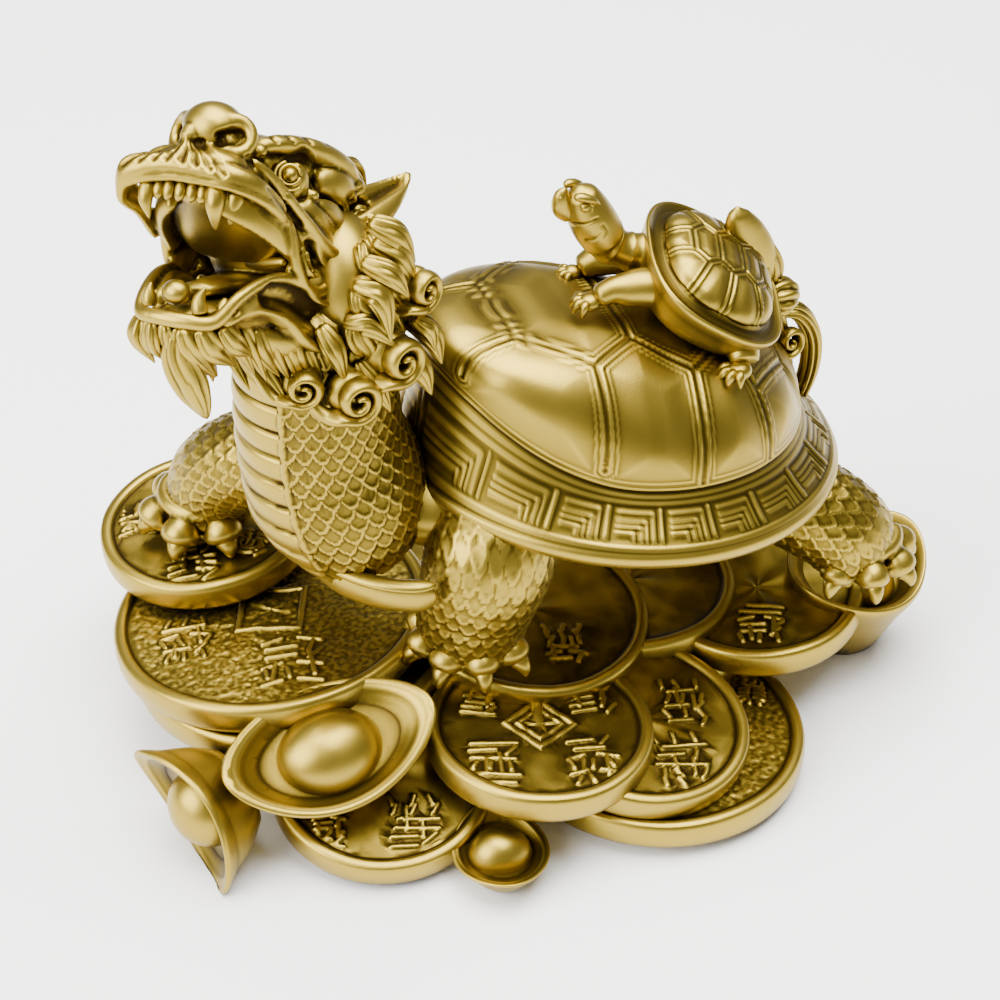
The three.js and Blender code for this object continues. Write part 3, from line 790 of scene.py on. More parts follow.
@dataclass
class Heap:
    """Coins and ingots under the figure, with the bed that holds them together."""

    coins: tuple[Coin, ...] = (
        Coin(-30.2, -41.3, 28.3, 18.4, 0.02, -0.1, marks=(
            (-5.3, -10.6, 3.8, 74, 1), (9, -5.1, 4.8, 74, 2), (9.4, 5.6, 3, 60, 3),
        )),
        Coin(
            -9.2, -36.5, 23, 27, -0.06, -0.08, Ground.GRAINY,
            ((0.7, -15.3, 5, 74, 5), (14.7, -1, 6, 72, 6)), (5.2, 66, 0), 460, 160,
        ),
        Coin(23.4, -28.6, 10, 18.5, 0.22, -0.05, marks=((7.2, -11.9, 3, 70, 9), (10.5, 1.6, 5, 70, 10))),
        Coin(28.3, -2.8, 17, 18.8, 0.02, 0.05, marks=(
            (6, -10.7, 5, 70, 11), (10.7, 5.2, 5, 76, 12),
            (-4.2, 10.4, 4.6, 80, 13), (-8.4, -7.2, 3.6, 60, 14),
        ), frame=(4.0, 24, 1.5)),
        Coin(30.2, 14.6, 14, 18.7, 0.16, 0.12, marks=((-1.4, 8.9, 4.6, 78, 15), (10.2, 3.3, 5.2, 78, 16))),
        Coin(25.7, 19.4, 7, 25.5, 0, 0.04, Ground.GRAINY, ((-2, 19.4, 2.6, 60, 19),), None, 400, 130),
        Coin(9.4, 46, 16.5, 18.4, 0.02, -0.06, marks=((8.4, -3.2, 4.6, 65, 17), (-3, -11, 3.6, 30, 18))),
    )
    coins_below: tuple[Coin, ...] = (
        Coin(4, 5, 20.5, 21, 0.1, 0.08, Ground.SMOOTH, ((9.8, 3.1, 4, 75, 20),), around=260, along=80),
        Coin(0, 26, 17.5, 18.5, 0.02, 0.02, around=96, along=40),
        Coin(-6.5, -33.5, 17.8, 27.5, -0.05, -0.06, around=160, along=40),
        Coin(
            -26, 4, 15, 20, -0.08, 0.04, Ground.SMOOTH,
            ((-10, 2, 4.6, 90, 21), (-2, 11, 4.4, 30, 22)), around=300, along=90,
        ),
        Coin(-24, 31, 12, 20, -0.1, 0.02, Ground.GRAINY, ((-11, 0, 4.6, 80, 23),), around=300, along=90),
        Coin(-20, 55, 16, 17.5, -0.06, 0.06, Ground.SMOOTH, ((-9, 5, 4.4, 120, 24),), around=300, along=90),
        Coin(
            -31, -14, 9, 18.5, -0.2, -0.04, Ground.SMOOTH, ((-9, -3, 4.4, 100, 25),),
            around=300, along=90,
        ),
    )
    ingots: tuple[Ingot, ...] = (
        Ingot((23, -37.4, 18.4), 18, 11, 10, (0, 1, 0.14), (0.45, 0, 0.89), 140, 72),
        Ingot((20.5, -60, 9.8), 13.5, 9.5, 9, (0.71, 0.29, -0.64), (0.28, -0.95, -0.11)),
        Ingot((42.5, -15.5, 5.2), 9, 8, 5, (1, -0.12, -0.1), (0.2, 0, 0.98)),
        Ingot((12, 64, 17), 13.5, 12, 17, (-0.35, 0.94, 0.05), (0.1, 0.1, 1)),
        Ingot((-40, -4, 9.5), 14, 9, 9, (-0.4, 0.9, 0), (-0.3, 0, 1)),
    )

    kept: tuple[float, float, float] = (0.76, 0.3, 0.45)

    def bed(self) -> bpy.types.Object:
        """Makes the rough bed that fills the heap."""
        table = np.array([(0, 0, 0), (0.2, 1, 0), (0.55, 0.9, 11.5), (0.7, 0.45, 14.5), (1, 0, 14.5)])

        def place(theta: Array, rise: Array) -> Array:
            """Puts each vertex on the bed."""
            r = np.interp(rise, table[:, 0], table[:, 1])
            z = np.interp(rise, table[:, 0], table[:, 2])
            return np.stack([-2 + 30 * r * np.cos(theta), 6 + 48 * r * np.sin(theta), z], 1)

        return Clay.wrap(64, 24, place)

    def build(self, finish: bpy.types.Material) -> list[bpy.types.Object]:
        """Makes and dresses the heap's pieces."""
        upper = join([coin.build() for coin in self.coins], "coins")
        lower = join([coin.build() for coin in self.coins_below] + [self.bed()], "coins_below")
        ingots = join([part for ingot in self.ingots for part in ingot.build()], "ingots")
        apply_modifier(upper, "DECIMATE", ratio=0.28)
        apply_modifier(lower, "DECIMATE", ratio=0.4)
        for piece in (upper, lower, ingots):
            self.cut_at_table(piece)
        return [
            settle(piece, finish, kept)
            for piece, kept in zip((upper, lower, ingots), self.kept)
        ]

    @staticmethod
    def cut_at_table(piece: bpy.types.Object) -> None:
        """Presses what would reach under the table flat on it."""
        points = positions(piece)
        points[:, 2] = np.maximum(points[:, 2], 0)
        move_to(piece, points)


@dataclass(frozen=True)
class Dome:
    """Form of a carapace: half sizes, where the dome starts on its rim, heights and fullness.

    The fullness says how squarely the dome rises on its left, its right, in front and behind, the
    outline how squarely the rim runs round: 2 is an oval.
    """

    half_length: float
    half_width: float
    band: float
    band_height: float
    dome_height: float
    fullness: tuple[float, float, float, float]
    forward: float
    front_reach: float = 0.0
    outline: float = 2.0
    front_rise: float = 0.0
    front_power: float = 2.0

    def rim_share(self, u: Array, v: Array) -> Array:
        """Returns the distance from the middle as a share of the rim, for points in half sizes."""
        return (np.abs(u) ** self.outline + np.abs(v) ** self.outline) ** (1 / self.outline)

    def foot_share(self, angle: Array) -> Array:
        """Returns where the dome starts, as a share of the rim, for each angle from the left side."""
        return self.band + self.front_reach * np.maximum(0, -np.sin(angle)) ** self.front_power

    def foot_height(self, angle: Array) -> Array:
        """Returns how high the dome starts, for each angle from the left side."""
        return self.band_height + self.front_rise * np.maximum(0, -np.sin(angle)) ** self.front_power

    def power(self, angle: Array) -> Array:
        """Returns the fullness for each angle from the left side."""
        left, right, front, rear = self.fullness
        side = np.where(np.cos(angle) > 0, left, right)
        end = np.where(np.sin(angle) < 0, front, rear)
        return side * np.cos(angle) ** 2 + end * np.sin(angle) ** 2

    def height(self, x: Array, y: Array) -> Array:
        """Returns the dome's height over each point."""
        u, v = np.asarray(x) / self.half_width, np.asarray(y) / self.half_length
        angle = np.arctan2(v, u)
        r = np.clip(self.rim_share(u, v) / self.foot_share(angle), 0, 1)
        power = self.power(angle)
        rise = np.clip(1 - r**power, 0, 1) ** (1 / power)
        foot = self.foot_height(angle)
        return foot + (self.dome_height - foot) * rise * (1 - self.forward * v)

    def over(self, line: Sequence[tuple[float, float]], spacing: float = 0.12) -> Array:
        """Lays a broken line of x, y points over the dome as dots."""
        dots = []
        for (x0, y0), (x1, y1) in zip(line, line[1:]):
            count = max(2, int(math.hypot(x1 - x0, y1 - y0) * 1.6 / spacing))
            share = np.linspace(0, 1, count)
            dots.append(np.stack([x0 + (x1 - x0) * share, y0 + (y1 - y0) * share], 1))
        flat = np.concatenate(dots)
        return np.column_stack([flat, self.height(flat[:, 0], flat[:, 1])])

    def foot(self, spacing: float = 0.12, share: float = 1.0) -> Array:
        """Returns dots round the dome's foot."""
        count = int(2 * math.pi * self.half_length * self.band / spacing)
        angle = np.linspace(0, 2 * math.pi, count)
        reach = self.foot_share(angle) * share / self.rim_share(np.cos(angle), np.sin(angle))
        x, y = self.half_width * reach * np.cos(angle), self.half_length * reach * np.sin(angle)
        return np.column_stack([x, y, self.height(x, y)])

    def edge(self, x: float, y: float, share: float = 1.0) -> tuple[float, float]:
        """Returns the point of the dome's foot in the same direction."""
        u, v = x / self.half_width, y / self.half_length
        k = float(self.foot_share(np.arctan2(v, u)) * share / self.rim_share(u, v))
        return x * k, y * k


@dataclass
class Carapace:
    """The large shell: scutes with double seams, a band of stepped keys and the bowl under it."""

    form: Dome = field(
        default_factory=lambda: Dome(
            38, 35.8, 0.79, 7.0, 26.6, (2.0, 1.4, 5.5, 1.9), 0.05, 0.17, 2.0, 12.5, 3.7,
        )
    )
    place: tuple[float, ...] = (-0.5, 22.6, 49.8, 0, 7, 0)
    around: int = 520
    along: int = 168
    # Corners of the row of middle scutes on the left side, and where their seams meet the foot
    corners: tuple[tuple[float, float], ...] = (
        (8.2, -25.2), (16.5, -14.6), (11.5, -6.6), (17.2, 2.6), (11.8, 10.0), (18.8, 13.6), (10.5, 22.5),
    )
    feet: tuple[tuple[int, float, float], ...] = (
        (0, 9.6, -33.7), (1, 25.4, -14.8), (3, 28.4, 1.4), (5, 24.5, 15.4), (6, 13.0, 27.0),
    )
    bars: tuple[float, ...] = (
        4, 29, 49, 64, 79, 93.5, 109, 127, 145, 163, 181, 199, 217, 235, 252, 268, 284, 300, 316, 333, 348,
    )

    def seam_dots(self) -> list[Array]:
        """Returns the seams between scutes as dots over the dome."""
        lines = []
        for side in (1, -1):
            lines.append(self.form.over([(side * x, y) for x, y in self.corners]))
            for corner, x, y in self.feet:
                start = (side * self.corners[corner][0], self.corners[corner][1])
                lines.append(self.form.over((start, self.form.edge(side * x, y))))
        for corner in (0, 2, 4, 6):
            x, y = self.corners[corner]
            lines.append(self.form.over(((x, y), (-x, y))))
        return lines

    def ground(self, theta: Array, rise: Array) -> Array:
        """Puts each vertex on the plain shell."""
        form = self.form
        under = np.array(
            [
                (0, 0.0, -17.8, 0.8), (0.1, 0.42, -16.0, 0.84), (0.17, 0.62, -12.0, 0.9),
                (0.22, 0.76, -7.8, 0.96), (0.27, 0.9, -4.0, 0.99), (0.3, 0.965, -2.9, 1),
                (0.31, 0.985, -2.5, 1), (0.325, 1.003, -1.4, 1), (0.34, 1.0, -0.3, 1),
                (0.35, 0.985, 0.35, 1),
            ]
        )
        r = np.interp(rise, under[:, 0], under[:, 1])
        z = np.interp(rise, under[:, 0], under[:, 2])
        narrow = np.interp(rise, under[:, 0], under[:, 3])
        foot = form.foot_share(theta)
        share = np.clip((rise - 0.35) / 0.12, 0, 1)
        band = rise > 0.35
        r = np.where(band, 0.985 + (foot - 0.985) * share, r)
        start = form.foot_height(theta)
        rising = 0.35 + (start - 0.35) * share * (1 - 0.1 * np.sin(math.pi * share))
        z = np.where(band, rising, z)
        turn = np.clip((rise - 0.47) / 0.53, 0, 1) * math.pi / 2
        on_dome = rise > 0.47
        power = form.power(theta)
        even = (np.cos(turn) ** power + np.sin(turn) ** power) ** (1 / power)
        r = np.where(on_dome, foot * np.cos(turn) / even, r)
        x = form.half_width * r * np.cos(theta) * narrow
        y = form.half_length * r * np.sin(theta)
        lift = (form.dome_height - start) * np.sin(turn) / even * (1 - form.forward * r * np.sin(theta))
        z = np.where(on_dome, start + lift, z)
        return np.stack([x, y, z], 1)

    def keys(self, angle: Array, share: Array) -> Array:
        """Returns the band's relief: edge lines, spokes and nested right-angled keys.

        Args:
            angle: Degrees from the front towards the left side.
            share: Share of the way from the dome's foot to the rim.

        Returns:
            Height in millimetres.
        """
        size, width = 33.5, 8.6
        outward = share * width
        height = 0.28 * ridge(outward - 0.35, 0.35) + 0.26 * ridge(outward - 1.3, 0.4)
        height += 0.3 * ridge(outward - width + 0.7, 0.5)
        around = angle % 360
        bars = np.array(sorted(self.bars))
        index = np.searchsorted(bars, around, side="right") - 1
        start = np.where(index < 0, bars[-1] - 360, bars[index])
        end = np.where(index + 1 >= len(bars), bars[0] + 360, bars[(index + 1) % len(bars)])
        from_start = np.radians(around - start) * size
        to_end = np.radians(end - around) * size
        inner = step(outward, 1.7, 2.1) * (1 - step(outward, width - 1.9, width - 1.5))
        height += 0.36 * ridge(np.minimum(from_start, to_end), 0.45) * inner
        corner = np.minimum(to_end - 1.1, outward - 2.4)
        inside = inner * step(from_start, 1.2, 1.7)
        for level in (0.3, 1.3, 2.3, 3.3):
            height += 0.3 * ridge(corner - level, 0.4) * inside
        return height

    def build(self, finish: bpy.types.Material) -> bpy.types.Object:
        """Makes and dresses the shell."""
        shell = Clay.wrap(self.around, self.along, self.ground)
        points = positions(shell)
        kept = Clay.blank(self.around, self.along)
        form = self.form
        angle = np.degrees(np.arctan2(points[:, 0] / form.half_width, -points[:, 1] / form.half_length))
        on_dome = kept.rise > 0.47
        seam = near_lines(points[on_dome], self.seam_dots() + [form.foot()], 7.0)
        height = 0.06 * soft_noise(points, 6.0, 2)
        height[on_dome] += (
            0.26 * ridge(seam - 0.8, 0.38) - 0.1 * ridge(seam, 0.55)
            + 0.1 * ridge(seam - 1.7, 0.3) + 0.35 * step(seam, 1.6, 7.0)
        )
        band = (kept.rise > 0.35) & ~on_dome
        height[band] += self.keys(angle[band], 1 - (kept.rise[band] - 0.35) / 0.12)
        press(shell, height)
        place_with(shell, pose(*self.place))
        shell.name = "carapace"
        return settle(shell, finish)


@dataclass
class Neck:
    """Chest and neck: smooth bands down the front, scales round the rest."""

    stations: tuple[tuple[float, ...], ...] = (
        (0, -23.4, 40, 10.6, 7.6), (0, -24.8, 45, 14.0, 11.4), (0, -26.8, 53, 14.8, 14.2),
        (0, -29.2, 64, 12.9, 13.1), (0.5, -30, 80, 12.1, 12.3), (2, -33, 95, 9.8, 9.8),
    )
    front_angle: float = 98
    front_half: float = 40
    band_rise: float = 4.8

    def relief(self, theta: Array, points: Array) -> Array:
        """Returns the height of bands and scales."""
        around = (np.degrees(theta) - self.front_angle + 180) % 360 - 180
        z = points[:, 2]
        front = 1 - step(np.abs(around), self.front_half - 3, self.front_half)
        share = (z / self.band_rise) % 1
        bands = 0.35 * np.sin(math.pi * share) - 0.65 * ridge(
            np.minimum(share, 1 - share) * self.band_rise, 0.7,
        )
        across = np.radians(around) * 14.5
        plates = 0.5 * scales(across, 120 - z, 3.1, 2.15)
        cord = 0.5 * ridge(np.abs(around) - self.front_half, 3)
        return front * bands + (1 - front) * plates * (1 - cord) + cord

    def breast_band(self) -> list[bpy.types.Object]:
        """Makes the lip of the lower shell round the foot of the chest."""
        table = []
        for i in range(13):
            a = math.radians(-160 + 12.5 * i)
            table.append((2.5 + 18.6 * math.cos(a), -14.5 + 18.1 * math.sin(a), 44.8, 1.4, 0.9))
        lower = [(x * 0.97, y + 0.5, z - 3.0, 1.3, 2.7) for x, y, z, _, _ in table]
        return [loft(table, 24, 90), loft(lower, 24, 90)]

    def build(self, finish: bpy.types.Material) -> bpy.types.Object:
        """Makes and dresses chest and neck."""
        trunk = loft(self.stations, 340, 130, (0, 1, 0))
        theta = Clay.blank(340, 130).theta
        press(trunk, self.relief(theta, positions(trunk)))
        chest = ball((0, -11, 48), (12.5, 12, 8), 48, 32)
        return settle(join([trunk, chest] + self.breast_band(), "neck"), finish, kept=0.76)


@dataclass(frozen=True)
class Leg:
    """One leg: stations of its limb, its foot's place, radius, heading, toes and their spread."""

    stations: tuple[tuple[float, ...], ...]
    facing: Point
    foot: Point
    radius: float
    heading: float
    toes: int
    spread: float
    plump: float = 1.0

    def limb(self) -> bpy.types.Object:
        """Makes the scaled limb."""
        around, along = 150, 90
        limb = loft(self.stations, around, along, self.facing, (0.05, 0.04))
        kept = Clay.blank(around, along)
        table = np.array(self.stations)
        length = np.linalg.norm(np.diff(table[:, :3], axis=0), axis=1).sum()
        radius = table[:, 3].mean()
        plates = scales(kept.theta * radius, kept.rise * length, 2.6, 2.0)
        press(limb, 0.36 * plates * (1 - step(kept.rise, 0.93, 0.97)))
        return limb

    def build(self) -> list[bpy.types.Object]:
        """Makes the limb, the foot, its toes and claws."""
        x, y, z = self.foot
        parts = [ball((x, y, z + 1.6), (self.radius * 0.9, self.radius * 0.9, 4.2), 40, 24)]
        parts.append(roll((x, y, z + 5.6), self.radius * 0.84, 1.5, (0.04, 0, 1)))
        claws = []
        for i in range(self.toes):
            angle = math.radians(self.heading + self.spread * (i / (self.toes - 1) - 0.5))
            out = np.array([math.cos(angle), math.sin(angle)])
            def at(reach: float, height: float, thick: float, flat: float = 1.0) -> tuple[float, ...]:
                """Returns one station of the toe."""
                thick *= self.plump
                return (x + out[0] * reach, y + out[1] * reach, z + height, thick, thick * flat)
            r = self.radius
            parts.append(
                loft(
                    [
                        at(0.3 * r, 2.8, 2.5), at(0.66 * r, 3.4, 2.6), at(0.84 * r, 2.7, 2.1),
                        at(1.0 * r, 2.3, 2.8), at(1.16 * r, 1.2, 2.8), at(1.26 * r, 0.2, 1.9),
                    ],
                    24, 28, caps=(0.1, 0.16),
                )
            )
            claws.append(
                loft(
                    [
                        at(1.16 * r, 0.8, 1.7), at(1.3 * r, 0.3, 1.5), at(1.4 * r, -0.8, 1.0),
                        at(1.42 * r, -2.1, 0.2),
                    ],
                    16, 20, caps=(0.05, 0.1),
                )
            )
        foot = join(parts, "foot")
        fuse(foot, 0.46, 2)
        return [self.limb(), foot] + claws


@dataclass
class Legs:
    """The four legs."""

    legs: tuple[Leg, ...] = (
        Leg(
            (
                (8, -1, 49, 10, 10), (14.5, -6, 43, 10.5, 10.5), (14.5, -8.6, 34, 9.4, 9.4),
                (13, -9.5, 25, 8.4, 8.4),
            ),
            (0, 1, 0), (13, -8.8, 24.5), 8, -50, 5, 160,
        ),
        Leg(
            (
                (-13, -20, 50, 9, 9), (-20, -31, 46, 8.8, 8.8), (-26.4, -38.6, 40, 8, 8),
                (-28.6, -41.4, 31, 7.2, 7.2),
            ),
            (0, 1, 0), (-28.4, -42.2, 29.8), 7.2, -72, 4, 165, 1.18,
        ),
        Leg(
            ((6, 42, 41, 8, 8), (14, 51, 36.5, 8.4, 8.4), (18, 57, 32, 8, 8), (18.5, 59, 27, 7.4, 7.4)),
            (1, 0, 0), (18.5, 60, 25), 7.2, 15, 4, 140,
        ),
        Leg(
            ((-6, 42, 44, 9, 9), (-15, 50, 38, 9, 9), (-20, 55, 28, 8.4, 8.4), (-20.5, 56, 20, 7.8, 7.8)),
            (1, 0, 0), (-20.5, 56.5, 17.8), 7.8, 150, 4, 130,
        ),
    )

    def build(self, finish: bpy.types.Material) -> bpy.types.Object:
        """Makes and dresses the legs."""
        return settle(join([part for leg in self.legs for part in leg.build()], "legs"), finish, kept=0.72)


def fluted(count: int, depth: float, twist: float = 0.0) -> Relief:
    """Returns a radius factor that cuts hair grooves along a lock."""
    def shape(theta: Array, rise: Array) -> Array:
        """Gives the factor for each angle and rise."""
        return 1 - depth * (1 - np.abs(np.sin(0.5 * count * theta + twist * rise))) ** 1.6
    return shape


def lock(
    points: Sequence[Sequence[float]], grooves: int = 7, twist: float = 1.2, around: int = 30,
    along: int = 26, facing: Point = (0, 1, 0),
) -> bpy.types.Object:
    """Makes a lock of hair through stations of x, y, z, half width and half depth."""
    return loft(points, around, along, facing, (0.1, 0.03), fluted(grooves, 0.34, twist))


def tuft(
    root: Point, middle: Point, tip: Point, width: float, depth: float = 0.7, grooves: int = 7,
) -> bpy.types.Object:
    """Makes a lock from its root over its fullest point to its tip.

    Args:
        root: Where it starts.
        middle: Where it is fullest.
        tip: Where it ends in a point.
        width: Half width at the middle.
        depth: Depth as a share of the width.
        grooves: Hair grooves round it.

    Returns:
        The lock.
    """
    return lock([
        (*root, 0.72 * width, 0.72 * width * depth), (*middle, width, width * depth), (*tip, 0.12, 0.1),
    ], grooves, facing=tuple(np.array(middle) * (1, 1, 0) + (0, 0.1, 0)))


def spiral_curl(
    centre: Point, radius: float, outward: Point, turns: float = 1.7, start: float = 0, sense: int = 1,
    stem: Sequence[Point] = (),
) -> bpy.types.Object:
    """Makes a rolled lock: a strand that winds in to its eye and rises there, with its stem.

    Args:
        centre: Middle of the curl.
        radius: Radius over the outer turn.
        outward: Way that the curl faces.
        turns: Turns from the outside to the eye.
        start: Angle of the outer end in degrees.
        sense: 1 or -1 for the way it winds.
        stem: Points of the hair that leads in to the outer end.

    Returns:
        The curl.
    """
    axis = Vector(outward).normalized()
    side = Vector((0, 0, 1)).cross(axis).normalized()
    up = axis.cross(side)
    table = [(*p, radius * (0.16 + 0.06 * k), radius * (0.26 + 0.05 * k)) for k, p in enumerate(stem)]
    count = 26
    for i in range(count):
        t = i / (count - 1)
        angle = math.radians(start) + sense * turns * 2 * math.pi * t
        r = radius * (0.78 * (1 - t) ** 0.8 + 0.01)
        thick = radius * (0.15 * (1 - t) + 0.12)
        rise = radius * (0.34 * t - 0.1)
        p = Vector(centre) + side * (r * math.cos(angle)) + up * (r * math.sin(angle)) + axis * rise
        table.append((p.x, p.y, p.z, thick, thick * 2.1))
    return loft(table, 26, 130, tuple(axis), (0.03, 0.02), fluted(13, 0.42))


def roll(
    centre: Point, radius: float, tube: float, facing: Point, share: float = 1.0, start: float = 0,
) -> bpy.types.Object:
    """Makes a rolled ring, or an arc of one, round a centre.

    Args:
        centre: Middle of the ring.
        radius: Radius to the middle of the roll.
        tube: Half thickness of the roll.
        facing: Way that the ring faces.
        share: Share of the full turn.
        start: Angle of the first end in degrees.

    Returns:
        The roll.
    """
    axis = Vector(facing).normalized()
    side = Vector((0, 0, 1)).cross(axis).normalized()
    up = axis.cross(side)
    table = []
    for i in range(18):
        angle = math.radians(start + 360 * share * i / 17)
        p = Vector(centre) + side * (radius * math.cos(angle)) + up * (radius * math.sin(angle))
        table.append((p.x, p.y, p.z, tube, tube))
    return loft(table, 12, 44, tuple(axis), (0.05, 0.05))


@dataclass
class Head:
    """The dragon's head, turned up to its left, in its own frame: x left, y back, z up."""

    place: tuple[float, ...] = (1.7, -41, 101.8, 36, 41, 13)
    voxel: float = 0.34
    front: Point = (0.35, -0.93, 0)

    def skull(self) -> list[bpy.types.Object]:
        """Makes the masses of skull, muzzle, nose, brows, cheeks and ears."""
        parts = [
            loft(
                [
                    (0, 17, -2, 8.4, 9), (0, 10, 3, 10, 9), (0, 4.5, 6.6, 10.2, 7.6),
                    (0, -2.5, 8.2, 9, 4.6), (-0.4, -9, 8.4, 9.2, 3.2), (-1, -14.8, 8.6, 8.6, 2.0),
                ],
                44, 34,
            ),
            ball((0.2, -12, 15.2), (4.8, 4.6, 4.1), 40, 28),
            loft(
                [
                    (-0.4, -10, 13.4, 4.8, 3.2), (0, -5, 12.6, 4.6, 3.4), (0, 0, 13.6, 5.4, 4),
                    (0, 6, 13.6, 6.6, 4.4),
                ],
                30, 24,
            ),
            loft(
                [(-1.2, -15.2, 14.6, 1.6, 1.6), (-1.4, -15.6, 12.6, 1.6, 1.6), (-1.6, -16, 10.6, 3.0, 1.9)],
                16, 16, (0, 1, 0),
            ),
            ball((-1.2, -13.0, 9.8), (8.2, 5.2, 2.9), 40, 24),
            loft(
                [
                    (-1, -14, 6.4, 6.2, 1.4), (-0.4, -9, 5.0, 8.2, 2.2), (0, -3.6, 3.0, 9.4, 3.2),
                    (0, 2, 1.4, 9.6, 4),
                ],
                34, 28,
            ),
            loft(
                [
                    (0, -7, 11.6, 5.2, 2.4), (0, -2, 12.2, 7.4, 3.6), (0, 4, 13.4, 8.8, 4.4),
                    (0, 11, 11, 9, 5),
                ],
                34, 28,
            ),
        ]
        for part in (
            loft(
                [
                    (3.8, -7.4, 13.4, 0.9, 0.9), (5.4, -5.2, 14.8, 1.6, 1.4), (7.0, -1.4, 15.8, 2.0, 1.6),
                    (8.8, 4, 16.0, 2.4, 1.9), (10.2, 9.5, 14.8, 2.2, 2.0), (10.8, 13.4, 12.2, 1.3, 1.3),
                ],
                20, 34,
            ),
            loft(
                [
                    (9.2, 3.4, 11.6, 1.0, 1.6), (10.4, 6.4, 12.2, 1.7, 2.6), (11.2, 9.8, 11.4, 1.5, 2.2),
                    (11.2, 12.4, 9.4, 0.7, 0.9),
                ],
                20, 20,
            ),
            loft(
                [
                    (9.4, -2, 6.0, 0.8, 1.2), (10.8, 1.6, 6.4, 1.4, 2.3), (11.4, 5.6, 6.6, 1.5, 2.7),
                    (11.4, 9.6, 7, 0.8, 1.3),
                ],
                24, 24,
            ),
            loft(
                [
                    (7.4, -12.4, 11.2, 0.6, 0.6), (9.0, -9.4, 9.6, 0.8, 0.75), (10.4, -5.6, 7.2, 0.85, 0.8),
                    (11.6, -0.8, 4.6, 0.9, 0.85), (12.6, 5.3, 1.9, 0.95, 0.9), (13.2, 10.9, 2.2, 1.0, 0.9),
                    (13.6, 15, 3.4, 1.2, 0.9), (14.2, 19.4, 5.4, 0.5, 0.4),
                ],
                16, 60,
            ),
            loft(
                [
                    (10.2, -5.6, 5.0, 0.8, 0.8), (10.7, -3.4, 1.8, 0.95, 0.95),
                    (10.9, -1.2, -1.6, 0.95, 0.95), (11.1, 1.9, -4.2, 1.0, 1.0),
                    (11.4, 5.4, -4.4, 1.0, 0.9), (11.6, 7.8, -2.6, 0.95, 0.9), (11.6, 7.9, 0.4, 0.7, 0.7),
                ],
                16, 50, (1, 0, 0),
            ),
            loft(
                [
                    (11, 0.2, 2.6, 0.5, 0.5), (11.2, 1.2, -0.6, 0.6, 0.6), (11.4, 3.2, -2.2, 0.6, 0.6),
                    (11.4, 5.4, -1.8, 0.45, 0.45),
                ],
                14, 24, (1, 0, 0),
            ),
            loft(
                [
                    (10.2, 11.2, 7.2, 2.6, 1.8), (11.9, 14.6, 9.8, 4.0, 1.7), (13.2, 18.6, 13.2, 3.0, 1.3),
                    (14.4, 23.6, 18.2, 0.5, 0.4),
                ],
                26, 34, self.front,
            ),
            loft(
                [
                    (11.9, 8.8, 1.2, 1.0, 0.8), (12.6, 12.2, -0.8, 2.1, 1.1), (12.6, 13.4, -3.4, 2.3, 1.1),
                    (11.4, 12.8, -7.0, 0.6, 0.5),
                ],
                20, 20, (1, 0, 0),
            ),
            ball((10.9, 0.6, 8.9), (1.0, 1.0, 1.0), 16, 10),
            ball((10.8, 9.4, 15.2), (1.6, 1.5, 1.4), 16, 10),
            ball((11.6, 12.0, 13.0), (1.5, 1.5, 1.3), 16, 10),
            ball((5.4, -7.2, 13.4), (1.2, 1.0, 1.1), 16, 10),
            roll((4.4, -13.0, 14.2), 2.5, 1.0, (0.62, -0.78, 0.1), 0.84, -140),
            ball((8.0, -1.2, 10.6), (2.6, 2.6, 2.9), 24, 16),
            loft(
                [
                    (3.6, -13.6, 5.2, 1.1, 2.4), (6.4, -11.4, 4.4, 1.3, 2.8), (8.4, -8.0, 3.6, 1.3, 3.0),
                    (9.6, -4, 2.4, 1.2, 3.0), (10.2, 0, 1.0, 1.1, 2.8),
                ],
                20, 34,
            ),
            loft(
                [(9.9, 4.0, 3.0, 2.6, 1.0), (10.1, 2.4, -0.8, 2.8, 1.0), (9.9, -0.2, -4.4, 2.6, 1.0)], 20,
                20, (1, 0, 0),
            ),
            loft(
                [
                    (10.2, -2.6, 3.6, 1.0, 1.2), (10.6, 0.4, 3.2, 1.4, 2.2), (10.8, 4, 2.6, 1.6, 3.0),
                    (10.8, 8, 1.6, 1.8, 3.4), (10.4, 12, 0, 2, 4),
                ],
                20, 24,
            ),
        ):
            parts += pair(part)
        return parts

    def lips(self) -> list[bpy.types.Object]:
        """Makes the upper lip, which hangs lower on its right side, with its rolled edge."""
        return [
            loft(
                [
                    (-10.4, -6, 0.8, 0.9, 1.0), (-10.6, -11.6, 3.6, 1.1, 1.5), (-11, -15.6, 5.6, 1.2, 2.3),
                    (-9.2, -17.8, 7.4, 1.5, 2.1), (-4, -17.6, 8.7, 1.7, 1.9), (1, -16.6, 8.6, 1.7, 1.8),
                    (6, -15.2, 8.0, 1.6, 1.7), (8.6, -12.8, 7.2, 1.3, 1.6), (9.8, -9.2, 6.0, 1.0, 1.4),
                    (10.4, -5.4, 4.8, 0.9, 1.1),
                ],
                24, 90,
            ),
            loft(
                [
                    (-10.6, -5.4, -0.2, 0.75, 0.75), (-10.2, -12.0, 2.5, 0.75, 0.75),
                    (-10.9, -15.9, 3.5, 0.75, 0.75), (-9.6, -17.6, 5.4, 0.75, 0.75),
                    (-3.4, -17.6, 6.8, 0.75, 0.75), (2, -16.6, 6.7, 0.75, 0.75),
                    (7, -15.0, 6.2, 0.75, 0.75), (9.6, -11.6, 5.4, 0.75, 0.75),
                    (10.5, -8.0, 4.4, 0.75, 0.75), (10.8, -5, 3.4, 0.7, 0.7),
                ],
                14, 90,
            ),
        ]

